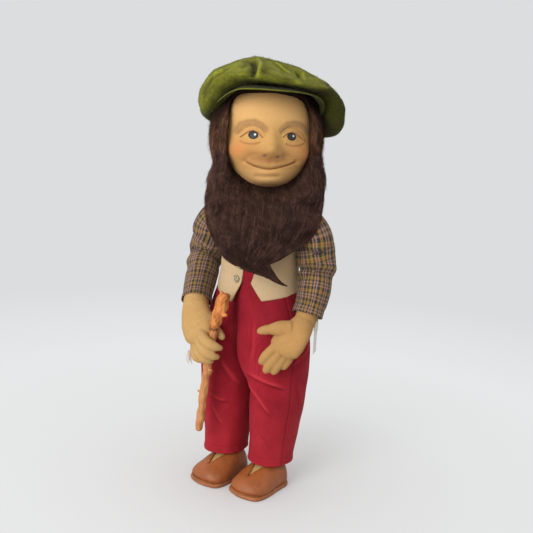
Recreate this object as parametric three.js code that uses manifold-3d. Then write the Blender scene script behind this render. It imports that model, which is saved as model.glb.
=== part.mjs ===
import * as THREE from 'three';
import { mergeVertices } from 'three/addons/utils/BufferGeometryUtils.js';
import Module from 'manifold-3d';

// Jointed felt doll with a full beard, in millimetres.
// It stands on z = 0, looks along -Y, and its own left side is +X.
const wasm = await Module();
wasm.setup();

const DEG = Math.PI / 180;

// Heights of the joints and how far apart the limbs sit.
const hipZ = 172;
const shoulderZ = 282;
const neckZ = 312.2;
const hipFaceX = 27.45;
const shoulderFaceX = 41.5;
const headTurn = 35;

// Cloth, felt and leather layers.
const gap = 0.3;
const shirtThick = 1.0;
const trouserThick = 1.6;
const waistcoatThick = 1.8;
const leatherThick = 1.5;
const capFelt = 2.4;

// Disc joints: hardboard discs, steel washers and split pins.
const feltWall = 1.2;
const discThick = 2.5;
const washerThick = 0.8;
const pinRadius = 1.3;
const neckDisc = 14;
const shoulderDisc = 11;
const hipDisc = 13;

// Limb ends round off about their own joint.
const hipRound = 27.5;
const thighTopRadius = 29.8;
const armTopRadius = 17.9;
const sleeveRadius = 19.3;

// Clothes.
const waistbandZ = 228;
const waistbandHeight = 12;
const shirtTailZ = 216;
const trouserHemZ = 29;
const hemHalfWidth = 23.4;
const hemShift = { right: 0.6, left: -2.6 };
const hemHalfDepth = 27;
const buttonRadius = 4;
const shirtTopZ = 303.4;
const collarZ = 303.8;
const collarRadius = 20.6;
const waistcoatBackZ = 211;

// Shoes.
const shoeLength = 66;
const shoeWidth = 43;
const soleThick = 4.4;
const footTurn = -12;
const footSpread = 25.3;
const footForward = [-15.5, -17];

// Walking stick, held in the right fist.
const stickGrip = new THREE.Vector3(-21.5, -53.5, 166);
const stickLean = new THREE.Vector3(0.118, 0.012, 1).normalize();
const stickAbove = 49;
const stickBelow = 104;
const stickRadius = 4.4;

// Cap.
const capCentre = [4.5, 3];
const capHalfWidth = 73.5;
const capHalfDepth = 75;
const capRimZ = 382;
const capRimRise = 33;
const capHeight = 65;
const visorHalfWidth = 53;
const visorReach = 74;
const visorZ = 411;

// Swing tag.
const tagWidth = 18;
const tagHeight = 27;
const tagThick = 0.5;

// Body outline as [height, half width, half depth, centre y].
const torsoShape = [
  [144.6, 10, 12, 0],
  [149, 24, 20, 0],
  [158, 33, 26, 0],
  [172, 37, 27, 0],
  [200, 39, 27, 0],
  [216, 39, 26.5, 0],
  [234, 37.5, 26, 0],
  [254, 37.5, 27, 0],
  [270, 40, 28, 0],
  [286, 41.5, 27, 0],
  [296, 37, 24, 0],
  [302, 27, 20, 0],
  [306, 18, 17.6, 0],
  [neckZ - 0.15, 17.5, 17.5, 0],
];
const headShape = [
  [neckZ + 0.15, 18, 18, 0],
  [318, 20, 20, -1],
  [324, 27, 29, -5],
  [332, 34, 38, -6],
  [342, 40, 43, -5],
  [354, 44.5, 46, -3],
  [368, 46.5, 47.5, -1],
  [384, 46.5, 47, 1],
  [399, 43.5, 45, 2],
  [412, 37, 39, 3],
  [423, 26, 28, 3],
  [430, 11, 12, 3],
];
const wigShape = [
  [314, 41, 37, 7],
  [326, 51, 48, 6],
  [344, 56, 55, 4],
  [364, 57.5, 58, 3],
  [382, 57.5, 58, 3],
  [398, 54.5, 55, 3],
  [411, 49, 50.5, 3],
  [422, 38, 40, 3],
  [430, 22, 24, 3],
  [434, 8, 9, 3],
];
const beardShape = [
  [243, 13, 6, -56, -14],
  [250, 27, 11, -53, -11],
  [258, 37, 15, -51, -8],
  [270, 48.5, 19, -49, -4],
  [286, 57, 23, -44, -2],
  [302, 58.5, 29, -37, -1.5],
  [320, 58, 35, -27, 0],
  [338, 56.5, 40, -17, 0.5],
  [352, 56, 42, -12, 0.5],
  [360, 54, 40, -9, 0.5],
];

// Legs and trousers as [height, half width, half depth, centre y, centre x].
const legShape = [
  [26, 11, 12, -3, 28],
  [44, 11.5, 12.5, -2, 28.5],
  [64, 13, 15, -1, 29],
  [90, 16.5, 20, 0, 30],
  [120, 23, 27, 0, 30.6],
  [146, 26.4, 30, 0, 30.4],
  [171, 23, 29.4, 0, 29],
];
const trouserShape = [
  [trouserHemZ, hemHalfWidth, hemHalfDepth, 1, 29.5],
  [50, hemHalfWidth + 0.9, hemHalfDepth + 2, 1, 29.6],
  [76, 26.4, 32, 0, 29.9],
  [100, 28.3, 35, -0.5, 30.3],
  [124, 29.3, 36.4, -1, 30.6],
  [148, 29.3, 35.4, -1, 30.6],
  [160, 28, 33.6, 0, 30],
  [171, 25.5, 31.9, 0, 29],
];

// Arm paths run shoulder, elbow, wrist; the sleeve ends at its cuff.
const arms = {
  right: {
    side: -1,
    path: [[-60, 0, 282], [-65.5, 3, 262], [-69, 4, 240], [-62.5, -14.5, 218], [-55.6, -32.6, 199], [-52.6, -38.4, 191]],
    arm: [17.2, 16.4, 15.2, 13.8, 13.2, 13.2],
    sleeve: [18.8, 18.4, 18, 16.4, 14.6],
  },
  left: {
    side: 1,
    path: [[60, 0, 282], [62.5, 1, 262], [64.5, 2, 243], [66.5, -7.5, 216], [65.3, -16.5, 196], [64.3, -21, 187]],
    arm: [17.2, 16, 14.6, 12.4, 11, 10.8],
    sleeve: [18.8, 17.8, 17.2, 15.3, 13.8],
  },
};

const look = (color, roughness, metalness = 0) =>
  new THREE.MeshStandardMaterial({ color, roughness, metalness });
const materials = {
  skinFelt: look(0xcf9f5c, 0.95),
  mohair: look(0x2e1a12, 0.9),
  capFelt: look(0x5d6b1e, 0.95),
  calico: look(0xd8c8a4, 0.95),
  plaid: look(0x6d5a45, 0.92),
  waistcoatFelt: look(0xe0d2b4, 0.95),
  corduroy: look(0x9c1220, 0.9),
  leather: look(0x84451f, 0.6),
  sole: look(0xa8693a, 0.7),
  wood: look(0xb5652d, 0.75),
  button: look(0x8f7f5a, 0.4, 0.9),
  hardboard: look(0x7a5a3a, 0.85),
  steel: look(0xa9abac, 0.4, 0.9),
  card: look(0xf0eee6, 0.9),
  thread: look(0xf2efe8, 0.9),
};

// Turns a closed three.js geometry into a solid that can be joined and cut.
function solid(geometry, matrix = new THREE.Matrix4()) {
  const bare = new THREE.BufferGeometry();
  bare.setAttribute('position', geometry.getAttribute('position').clone());
  if (geometry.index) bare.setIndex(geometry.index.clone());
  bare.applyMatrix4(matrix);
  const merged = mergeVertices(bare, 1e-4);
  const place = merged.attributes.position;
  const corners = merged.index.array;
  const triVerts = [];
  let volume = 0;
  const [a, b, c] = [new THREE.Vector3(), new THREE.Vector3(), new THREE.Vector3()];
  for (let i = 0; i < corners.length; i += 3) {
    const [p, q, r] = [corners[i], corners[i + 1], corners[i + 2]];
    if (p === q || q === r || r === p) continue;
    triVerts.push(p, q, r);
    a.fromBufferAttribute(place, p);
    b.fromBufferAttribute(place, q);
    c.fromBufferAttribute(place, r);
    volume += a.dot(b.cross(c));
  }
  if (volume < 0) triVerts.reverse();
  const vertProperties = new Float32Array(place.array);
  return new wasm.Manifold(new wasm.Mesh({ numProp: 3, vertProperties, triVerts: new Uint32Array(triVerts) }));
}

// Smooth values between the rows of an outline table.
function sample(table, z) {
  const last = table.length - 1;
  if (z <= table[0][0]) return table[0].slice(1);
  if (z >= table[last][0]) return table[last].slice(1);
  const i = table.findIndex((row) => row[0] > z) - 1;
  const [low, high] = [table[i], table[i + 1]];
  const span = high[0] - low[0];
  const t = (z - low[0]) / span;
  return low.slice(1).map((start, k) => {
    const slope = (p, q) => (q[k + 1] - p[k + 1]) / (q[0] - p[0]);
    const here = slope(low, high);
    const into = i > 0 ? (slope(table[i - 1], low) + here) / 2 : here;
    const out = i + 2 <= last ? (here + slope(high, table[i + 2])) / 2 : here;
    const end = high[k + 1];
    return (
      start * (2 * t ** 3 - 3 * t ** 2 + 1) +
      into * span * (t ** 3 - 2 * t ** 2 + t) +
      end * (3 * t ** 2 - 2 * t ** 3) +
      out * span * (t ** 3 - t ** 2)
    );
  });
}

// Reshapes a cylinder: place(turn, along, reach) gives the point for each of its vertices.
function shaped(sides, rows, place, matrix) {
  const geometry = new THREE.CylinderGeometry(1, 1, 1, sides, rows);
  const position = geometry.getAttribute('position');
  for (let i = 0; i < position.count; i += 1) {
    const reach = Math.hypot(position.getX(i), position.getZ(i)) > 0.5 ? 1 : 0;
    const turn = Math.atan2(position.getZ(i), position.getX(i));
    position.setXYZ(i, ...place(turn, position.getY(i) + 0.5, reach));
  }
  return solid(geometry, matrix);
}

// Upright body that follows an outline table; swell(turn, z) pushes the surface out or in.
function upright(table, options = {}) {
  const { grow = 0, sides = 20, rows = 11, swell = () => 0, matrix, side = 1, dense = 0 } = options;
  const low = table[0][0];
  const high = table[table.length - 1][0];
  return shaped(sides, rows, (turn, along, reach) => {
    const z = low + along * (high - low);
    const [a, b, y, x = 0] = sample(table, z);
    const front = turn + Math.PI / 2;
    const angle = turn - dense * Math.sin(front);
    const out = grow + swell(angle, z);
    return [
      side * x + reach * Math.cos(angle) * (a + out),
      y + reach * Math.sin(angle) * (b + out),
      z,
    ];
  }, matrix);
}

// Tube along a path with a radius for each of its points.
function tube(path, radii, options = {}) {
  const { sides = 12, rows = 8, grow = 0, flat = () => 1, matrix } = options;
  const curve = new THREE.CatmullRomCurve3(path.map((p) => new THREE.Vector3(...p)));
  const radius = (t) => {
    const at = t * (radii.length - 1);
    const i = Math.min(Math.floor(at), radii.length - 2);
    return radii[i] + (radii[i + 1] - radii[i]) * (at - i);
  };
  return shaped(sides, rows, (turn, along, reach) => {
    const centre = curve.getPoint(along);
    const ahead = curve.getTangent(along);
    const across = new THREE.Vector3(1, 0, 0).addScaledVector(ahead, -ahead.x).normalize();
    const over = new THREE.Vector3().crossVectors(ahead, across);
    const r = reach * (radius(along) + grow);
    centre.addScaledVector(across, r * Math.cos(turn));
    centre.addScaledVector(over, r * Math.sin(turn) * flat(along));
    return centre.toArray();
  }, matrix);
}

// Solid turned about a line through `centre` that runs along `axis`.
function turned(profile, axis, centre, sides = 18) {
  const points = profile.map(([along, radius]) => new THREE.Vector2(radius, along));
  const spin = new THREE.Quaternion().setFromUnitVectors(new THREE.Vector3(0, 1, 0), axis);
  const matrix = new THREE.Matrix4().compose(centre, spin, new THREE.Vector3(1, 1, 1));
  return solid(new THREE.LatheGeometry(points, sides), matrix);
}

function rod(radius, from, to, sides = 18) {
  const axis = to.clone().sub(from);
  const length = axis.length();
  return turned([[0, 0], [0, radius], [length, radius], [length, 0]], axis.normalize(), from, sides);
}

function box(x0, x1, y0, y1, z0, z1) {
  const middle = new THREE.Matrix4().makeTranslation((x0 + x1) / 2, (y0 + y1) / 2, (z0 + z1) / 2);
  return solid(new THREE.BoxGeometry(x1 - x0, y1 - y0, z1 - z0), middle);
}

// Flat outline in x and z, pushed through from y0 to y1.
function panel(corners, y0, y1) {
  const shape = new THREE.Shape(corners.map(([x, z]) => new THREE.Vector2(x, z)));
  const slab = new THREE.ExtrudeGeometry(shape, { depth: y1 - y0, bevelEnabled: false });
  const stand = new THREE.Matrix4().makeRotationX(Math.PI / 2).setPosition(0, y1, 0);
  return solid(slab, stand);
}

const at = (x, y, z) => new THREE.Vector3(x, y, z);
const crosswise = (side, radius, from, to, z, sides = 14) =>
  rod(radius, at(side * from, 0, z), at(side * to, 0, z), sides);
const aroundNeck = new THREE.Matrix4().makeRotationZ(headTurn * DEG);

const group = new THREE.Group();
function piece(name, body, material) {
  const made = body.getMesh();
  const geometry = new THREE.BufferGeometry();
  geometry.setAttribute('position', new THREE.BufferAttribute(new Float32Array(made.vertProperties), 3));
  geometry.setIndex(new THREE.BufferAttribute(new Uint32Array(made.triVerts), 1));
  geometry.computeVertexNormals();
  const mesh = new THREE.Mesh(geometry, material);
  mesh.name = name;
  group.add(mesh);
}

// A disc joint: two discs and two washers on a split pin, each half in a pocket of its own cloth body.
// `axis` points from the torso to the limb and `face` is the point where the two bodies meet.
function discJoint(label, face, axis, discRadius) {
  const pocketDepth = feltWall + discThick + washerThick + 3 * gap;
  const span = (radius, from, to, sides) =>
    rod(radius, face.clone().addScaledVector(axis, from), face.clone().addScaledVector(axis, to), sides);
  const ring = (radius, from, to, sides) =>
    span(radius, from, to, sides).subtract(span(pinRadius + gap, from - 1, to + 1, 6));
  const discAt = gap / 2 + feltWall + gap;
  const washerAt = discAt + discThick + gap;
  const headAt = washerAt + washerThick + gap;
  for (const [end, sign] of [['inner', -1], ['outer', 1]]) {
    const disc = [sign * discAt, sign * (discAt + discThick)].sort((p, q) => p - q);
    const washer = [sign * washerAt, sign * (washerAt + washerThick)].sort((p, q) => p - q);
    piece(`${label}_disc_${end}`, ring(discRadius, ...disc, 12), materials.hardboard);
    piece(`${label}_washer_${end}`, ring(discRadius * 0.5, ...washer, 8), materials.steel);
  }
  const across = new THREE.Vector3(0, 1, 0);
  const shank = span(pinRadius, -headAt - 0.6, headAt + 0.8, 6);
  const loop = turned([[-0.9, 1.6], [0.9, 1.6], [0.9, 3.4], [-0.9, 3.4], [-0.9, 1.6]], across,
    face.clone().addScaledVector(axis, headAt + 2.2 + 1.2), 8);
  const legs = [-1, 1].map((way) => {
    const start = face.clone().addScaledVector(axis, -headAt - 0.7);
    const bend = start.clone().addScaledVector(across, way * 4.6);
    return rod(0.7, start.clone().addScaledVector(across, -way * 0.6), bend, 5);
  });
  piece(`${label}_pin`, shank.add(loop).add(legs[0]).add(legs[1]), materials.steel);
  const pocket = (sign, depth) => {
    const [near, far] = [sign * (gap / 2 + feltWall), sign * depth];
    const room = span(discRadius + gap, Math.min(near, far), Math.max(near, far), 12);
    const bore = span(pinRadius + gap, Math.min(0, near) - 0.5, Math.max(0, near) + 0.5, 6);
    return room.add(bore);
  };
  return {
    torsoPocket: pocket(-1, pocketDepth + gap / 2 + 2.2),
    limbPocket: pocket(1, pocketDepth + gap / 2 + 7.8),
  };
}

const neck = discJoint('neck', at(0, 0, neckZ), at(0, 0, 1), neckDisc);
const shoulders = {
  right: discJoint('shoulder_right', at(-shoulderFaceX, 0, shoulderZ), at(-1, 0, 0), shoulderDisc),
  left: discJoint('shoulder_left', at(shoulderFaceX, 0, shoulderZ), at(1, 0, 0), shoulderDisc),
};
const hips = {
  right: discJoint('hip_right', at(-hipFaceX, 0, hipZ), at(-1, 0, 0), hipDisc),
  left: discJoint('hip_left', at(hipFaceX, 0, hipZ), at(1, 0, 0), hipDisc),
};

// The trunk and every layer of clothing on it share one outline.
function trunk(grow, options = {}) {
  const barrel = upright(torsoShape, { grow, sides: 16, rows: 11, ...options });
  const below = box(-90, 90, -90, 90, 100, hipZ);
  const roundBottom = crosswise(1, hipRound + grow, -90, 90, hipZ, 16);
  return barrel.subtract(below.subtract(roundBottom));
}
const topSlice = (body, low, high) => body.intersect(box(-120, 120, -120, 120, low, high));
const bothSides = (radius, from, z) => crosswise(1, radius, from, 120, z).add(crosswise(-1, radius, from, 120, z));

const shirtIn = gap;
const shirtOut = shirtIn + shirtThick;
const bandIn = shirtOut + gap;
const bandOut = bandIn + trouserThick;
const vestIn = bandOut + gap;
const vestOut = vestIn + waistcoatThick;
const thighCover = thighTopRadius + gap + trouserThick;
const hipScoop = thighCover + 1;

let torso = trunk(0).intersect(box(-shoulderFaceX + gap, shoulderFaceX - gap, -90, 90, 100, 400));
torso = torso.add(crosswise(1, shoulderDisc + 2.5, -shoulderFaceX + gap / 2, shoulderFaceX - gap / 2, shoulderZ));
torso = torso.subtract(bothSides(hipScoop, hipFaceX - gap / 2, hipZ));
torso = torso.subtract(neck.torsoPocket);
for (const side of ['right', 'left']) {
  torso = torso.subtract(shoulders[side].torsoPocket).subtract(hips[side].torsoPocket);
}
piece('torso_body', torso, materials.calico);

const padHole = bothSides(shoulderDisc + 2.5 + gap, 32, shoulderZ);
const armhole = padHole.add(bothSides(sleeveRadius + 1.9, shoulderFaceX - 0.6, shoulderZ));
const shirt = topSlice(trunk(shirtOut).subtract(trunk(shirtIn)), shirtTailZ, shirtTopZ).subtract(armhole);
piece('shirt_body', shirt, materials.plaid);

const collarBand = rod(collarRadius, at(0, 0, collarZ), at(0, 0, neckZ - 1), 16);
const collarBore = rod(collarRadius - 2.3, at(0, 0, collarZ - 4), at(0, 0, neckZ + 1), 16);
piece('shirt_collar', collarBand.subtract(collarBore).subtract(trunk(gap)), materials.plaid);

const seatCut = bothSides(hipScoop, hipFaceX - 0.6, hipZ);
const trouserTop = trunk(bandOut).subtract(trunk(bandIn)).subtract(seatCut);
piece('trousers_seat', topSlice(trouserTop, 100, waistbandZ - gap), materials.corduroy);
piece('trousers_waistband', topSlice(trouserTop, waistbandZ, waistbandZ + waistbandHeight), materials.corduroy);

const neckOpening = rod(23.5, at(0, 0, 280), at(0, 0, 330), 16);
const vestArmhole = padHole.add(bothSides(sleeveRadius + 3.7, shoulderFaceX - 0.6, shoulderZ));
const vest = topSlice(trunk(vestOut).subtract(trunk(vestIn)), 196, 309).subtract(neckOpening).subtract(vestArmhole);
const vestRight = [
  [-3.3, 220.4], [-2.2, 232], [-1.5, 243], [-6, 262], [-18, 296], [-20, 320],
  [-80, 320], [-80, 215], [-45, 213], [-36, 208], [-12.5, 200],
];
const vestLeft = [
  [8, 222], [19, 205.6], [45, 212], [80, 214], [80, 320], [20, 320], [18, 296], [17, 262], [13, 240],
];
piece('waistcoat_front_right', vest.intersect(panel(vestRight, -90, -gap / 2)), materials.waistcoatFelt);
piece('waistcoat_front_left', vest.intersect(panel(vestLeft, -90, -gap / 2)), materials.waistcoatFelt);
const vestBack = vest.intersect(box(-90, 90, gap / 2, 90, 0, 400));
piece('waistcoat_back', topSlice(vestBack, waistcoatBackZ, shoulderZ + 100), materials.waistcoatFelt);

const buttonZ = 224.5;
const buttonX = -9;
const [vestHalfWidth, vestHalfDepth] = sample(torsoShape, buttonZ).map((value) => value + vestOut);
const buttonY = -vestHalfDepth * Math.sqrt(1 - (buttonX / vestHalfWidth) ** 2);
const buttonOut = at((buttonX / vestHalfWidth) * 0.6, -1, 0).normalize();
const buttonSeat = at(buttonX, buttonY, buttonZ).addScaledVector(buttonOut, gap);
const buttonProfile = [[0, 0], [0, buttonRadius - 0.8], [0.9, buttonRadius], [1.7, buttonRadius - 0.5],
  [1.4, buttonRadius - 1.6], [2.1, 1.8], [2.4, 0]];
piece('waistcoat_button', turned(buttonProfile, buttonOut, buttonSeat, 14), materials.button);

// Limb tops are domes about the joint, open towards the torso.
function dome(side, face, joint, reach, radius, z, grow) {
  const point = (share, size) => [
    joint + share * (reach - joint) + grow * share ** 3,
    size * radius + grow * (1 - 0.5 * share ** 3),
  ];
  const profile = [[face, 0], [face, radius + grow], point(0.62, 1), point(0.84, 0.85), point(0.96, 0.52)];
  return turned([...profile, [reach + grow, 0]], at(side, 0, 0), at(0, 0, z), 14);
}

const thighReach = 55;
function thighTop(side, grow, face) {
  return dome(side, face, hipFaceX, thighReach, thighTopRadius, hipZ, grow);
}
const innerHip = (side) => {
  const wedge = new THREE.Shape([
    new THREE.Vector2(-80, hipZ - 1), new THREE.Vector2(0, hipZ - 1), new THREE.Vector2(80, hipZ - 18),
    new THREE.Vector2(80, hipZ + 60), new THREE.Vector2(-80, hipZ + 60),
  ]);
  const depth = hipFaceX + 10;
  const slab = new THREE.ExtrudeGeometry(wedge, { depth, bevelEnabled: false });
  const basis = new THREE.Matrix4().makeBasis(at(0, 1, 0), at(0, 0, 1), at(1, 0, 0));
  basis.setPosition(side > 0 ? -10 + gap / 2 : -hipFaceX - gap / 2, 0, 0);
  const pelvis = crosswise(side, hipRound + bandOut + 0.8, -10, hipFaceX + gap / 2, hipZ, 16);
  return solid(slab, basis).add(pelvis);
};

// Soft folds where the trouser legs bend and bag.
const folds = {
  right: [[-95, 138, 22, 3.2, 26], [-70, 88, -18, 1.6, 30]],
  left: [[-88, 112, 26, 3.0, 34], [-84, 92, 24, 2.2, 30], [-35, 62, 12, 1.2, 30]],
};
const foldSwell = (side) => (angle, z) => {
  let out = 0;
  for (const [centre, height, rise, depth, width] of folds[side]) {
    const away = ((angle / DEG - centre + 540) % 360) - 180;
    const fade = Math.exp(-((away / width) ** 2));
    const drop = (z - height + (away * rise) / 60) / 5.5;
    out += depth * fade * (Math.exp(-(drop ** 2)) - 0.7 * Math.exp(-((drop - 1.6) ** 2)));
  }
  return out;
};

for (const [name, side, forward] of [['right', -1, footForward[0]], ['left', 1, footForward[1]]]) {
  const turnFoot = new THREE.Matrix4().makeRotationZ(footTurn * DEG).setPosition(side * footSpread, forward, 0);
  const half = shoeLength / 2;

  // Shoe shape along its length: [along, half width, height of the top above the sole].
  const last = [
    [-half, 0.42, 16], [-half + 2, 0.62, 21], [-half + 8, 0.8, 26], [-half + 18, 0.86, 28], [-half + 28, 0.9, 26],
    [-half + 38, 0.97, 21.5], [-half + 48, 1, 17], [-half + 57, 0.9, 13.5], [-half + 63, 0.66, 10.5], [half, 0.36, 7.5],
  ];
  const shoeForm = (grow, floor) => shaped(12, 8, (turn, along, reach) => {
    const [wide, high] = sample(last, (along * 2 - 1) * half);
    const t = (along * 2 - 1) * (half + grow);
    const width = (wide * shoeWidth) / 2 + grow;
    const top = high + grow;
    const up = Math.sin(turn) > 0 ? Math.sin(turn) : 0;
    const low = Math.sin(turn) < 0 ? 1 - Math.abs(Math.sin(turn)) ** 3 * 0.08 : 1;
    return [reach * Math.cos(turn) * width * low, -t, floor + (reach > 0 ? top * up ** 0.8 : top * 0.4)];
  }, turnFoot);
  const footFloor = soleThick + gap + 1.2 + gap;
  const foot = shoeForm(-leatherThick - 6 * gap, footFloor);
  const lining = shoeForm(-leatherThick, footFloor - gap);

  const legBody = upright(legShape, { sides: 12, rows: 7, side });
  const inner = innerHip(side);
  let leg = legBody.subtract(inner).add(thighTop(side, 0, hipFaceX + gap / 2)).add(foot);
  leg = leg.subtract(hips[name].limbPocket);
  piece(`leg_${name}`, leg, materials.skinFelt);

  const cloth = (grow, swell, low = 0) => {
    const table = trouserShape.map(([z, wide, deep, y, x], i) => {
      const shift = hemShift[name] * Math.max(0, 1 - (z - trouserHemZ) / 71);
      return [i === 0 ? z - low : z, wide, deep, y, x + shift];
    });
    return upright(table, { grow, sides: 16, rows: 10, side, swell });
  };
  const swell = foldSwell(name);
  const face = hipFaceX + 0.7;
  const outside = cloth(0, swell).subtract(inner).add(thighTop(side, gap + trouserThick, face));
  const inside = cloth(-trouserThick, swell, 2).add(thighTop(side, gap, face - 4));
  const trouserLeg = outside.subtract(inside);
  piece(`trouser_leg_${name}`, trouserLeg, materials.corduroy);

  const shoeOut = shoeForm(0, soleThick + gap);
  const ankle = upright([[soleThick + 9, 13.5, 14.5, -3, 28], [60, 13.5, 14.5, -3, 28]], { sides: 14, rows: 1, side });
  const notch = new THREE.Shape([new THREE.Vector2(-8, -6), new THREE.Vector2(8, -6), new THREE.Vector2(0, 15)]);
  const wedge = new THREE.ExtrudeGeometry(notch, { depth: 50, bevelEnabled: false });
  const wedgePlace = turnFoot.clone()
    .multiply(new THREE.Matrix4().makeTranslation(0, 12, soleThick + 8))
    .multiply(new THREE.Matrix4().makeScale(1, -1, 1));
  const opening = solid(wedge, wedgePlace);
  const upper = shoeOut.subtract(lining).subtract(ankle).subtract(opening);
  piece(`shoe_upper_${name}`, upper, materials.leather);

  const outline = [];
  for (let i = 0; i < 20; i += 1) {
    const along = -Math.cos((i / 10) * Math.PI) * (half + 1.2);
    const [wide] = sample(last, along);
    const way = i <= 10 ? 1 : -1;
    const width = i % 10 === 0 ? 0 : (wide * shoeWidth) / 2 + 1.2;
    outline.push(new THREE.Vector2(way * width, -along));
  }
  const soleSlab = new THREE.ExtrudeGeometry(new THREE.Shape(outline), { depth: soleThick, bevelEnabled: false });
  piece(`shoe_sole_${name}`, solid(soleSlab, turnFoot), materials.sole);
}

// Fingers are tubes that start in the palm.
const finger = (points, radius, tip = 0.72) =>
  tube(points, [radius * 0.9, radius, radius, radius * 0.97, radius * tip * 0.9, radius * 0.35], { sides: 6, rows: 4 });

const flatten = (along) => 1 - 0.46 * Math.min(1, along * 2.6);
const stickAt = (along) => stickGrip.clone().addScaledVector(stickLean, along);
const handRight = () => {
  const palm = tube([[-52.6, -38.4, 192], [-49, -43, 184], [-44, -48.5, 174], [-38, -52.5, 164], [-34, -53.5, 158]],
    [13.2, 15.2, 16.5, 15, 9], { sides: 10, rows: 5, flat: flatten });
  const fingers = [
    finger([[-38, -52, 169], [-28.5, -60.5, 166], [-20.5, -64.5, 162.5], [-12.5, -62.5, 159.5], [-7.5, -56.5, 157]], 5.3),
    finger([[-39, -52, 161], [-30.5, -60.5, 157.5], [-22.5, -64.5, 153], [-15, -62.5, 149.5], [-10.5, -57, 147.5]], 5.1),
    finger([[-42, -51, 154.5], [-34.5, -58.5, 150.5], [-27.5, -63, 146.5], [-21, -61.5, 143.5], [-17, -57, 142]], 4.7),
    finger([[-46, -48, 153], [-41, -55, 147.5], [-36, -59, 143.5], [-31, -58, 141.5], [-28, -54.5, 140.5]], 4.2),
    finger([[-42, -41, 183], [-32, -42, 177], [-23.5, -43, 170.5], [-16.5, -44, 165.5], [-13.5, -44.5, 162.5]], 4.8),
  ];
  return fingers.reduce((body, part) => body.add(part), palm);
};
const handLeft = () => {
  const palm = tube([[64.3, -21, 188], [62.5, -32, 181], [59, -39, 173], [55, -43, 165], [53, -44.5, 160]],
    [10.8, 13.5, 15.5, 14.5, 10], { sides: 10, rows: 5, flat: flatten });
  const fingers = [
    finger([[51, -42, 172], [46, -47, 165], [40.5, -50.5, 158], [36.5, -52, 152], [34, -52, 148]], 4.8),
    finger([[54, -41, 167], [50, -46, 158], [45, -49.5, 150], [41, -50.5, 143.5], [38.5, -50, 139.5]], 4.7),
    finger([[57, -39, 164], [54.5, -43.5, 155], [50.5, -46.5, 148], [47.5, -47, 142], [45.5, -46.5, 138.5]], 4.4),
    finger([[60, -35, 164], [59.5, -39, 156], [57, -41.5, 150.5], [55, -42, 146.5], [53.5, -41.5, 144]], 4.0),
    finger([[57, -36, 183], [48, -42, 184], [39.5, -47, 183], [32.5, -50, 181], [28.5, -51, 179.5]], 4.9),
  ];
  return fingers.reduce((body, part) => body.add(part), palm);
};

const gripBore = rod(stickRadius + gap + 0.15, stickAt(-60), stickAt(60), 16);
for (const [name, hand] of [['right', handRight()], ['left', handLeft()]]) {
  const { side, path, arm, sleeve } = arms[name];
  const face = shoulderFaceX + gap / 2;
  const keep = side > 0 ? box(face, 120, -120, 80, 0, 400) : box(-120, -face, -120, 80, 0, 400);
  const reach = 76;
  const armTop = (grow, from) => dome(side, from, shoulderFaceX, reach, armTopRadius, shoulderZ, grow);
  let limb = tube(path, arm, { sides: 12, rows: 5 }).intersect(keep).add(armTop(0, face)).add(hand);
  limb = limb.subtract(shoulders[name].limbPocket);
  if (name === 'right') limb = limb.subtract(gripBore);
  piece(`arm_${name}`, limb, materials.skinFelt);

  const sleevePath = path.slice(0, 5);
  const sleeveFace = shoulderFaceX + 1;
  const beyond = new THREE.Vector3(...path[4]).lerp(new THREE.Vector3(...path[3]), -0.3).toArray();
  const outside = tube(sleevePath, sleeve, { sides: 12, rows: 4 })
    .intersect(side > 0 ? box(sleeveFace, 120, -120, 80, 0, 400) : box(-120, -sleeveFace, -120, 80, 0, 400))
    .add(armTop(sleeveRadius - armTopRadius, sleeveFace));
  const hollow = tube([...sleevePath, beyond], [...sleeve, sleeve[4]], { sides: 12, rows: 5, grow: -shirtThick })
    .intersect(keep)
    .add(armTop(sleeveRadius - armTopRadius - shirtThick, face));
  piece(`sleeve_${name}`, outside.subtract(hollow), materials.plaid);
}

// The stick: a straight lower shaft, a thicker barked head with two prongs, and small thorns.
const shaft = shaped(8, 12, (turn, along, reach) => {
  const t = -stickBelow + along * (stickBelow + stickAbove - 2);
  const held = Math.exp(-((t / 26) ** 6));
  const knobbly = 0.35 * Math.sin(t * 0.21 + 2 * turn) + 0.25 * Math.sin(t * 0.47 - turn);
  const taper = t < 0 ? 0.25 * Math.min(1, -t / 60) : 0;
  const thick = t > 20 ? Math.min(1.2, (t - 20) * 0.12) : 0;
  const r = stickRadius * held + (1 - held) * (stickRadius - taper + thick + knobbly);
  const centre = stickAt(t);
  return [centre.x + reach * r * Math.cos(turn), centre.y + reach * r * Math.sin(turn), centre.z];
});
const spur = (along, dx, dy, dz, radius) => {
  const root = stickAt(along);
  const end = root.clone().add(at(dx, dy, dz));
  return tube([root.toArray(), root.clone().lerp(end, 0.5).toArray(), end.toArray()], [radius, radius * 0.8, radius * 0.5],
    { sides: 6, rows: 2 });
};
let stick = shaft.add(spur(45, -4.2, -0.6, 6, 2.8)).add(spur(44, 5, -0.8, 5.4, 2.9));
stick = stick.add(spur(28, 10, -2, 4, 2.7));
stick = stick.add(spur(-36, 7, -2.5, 1.5, 1.6)).add(spur(-62, -6, -2.5, 3, 1.7));
piece('walking_stick', stick, materials.wood);

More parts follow.
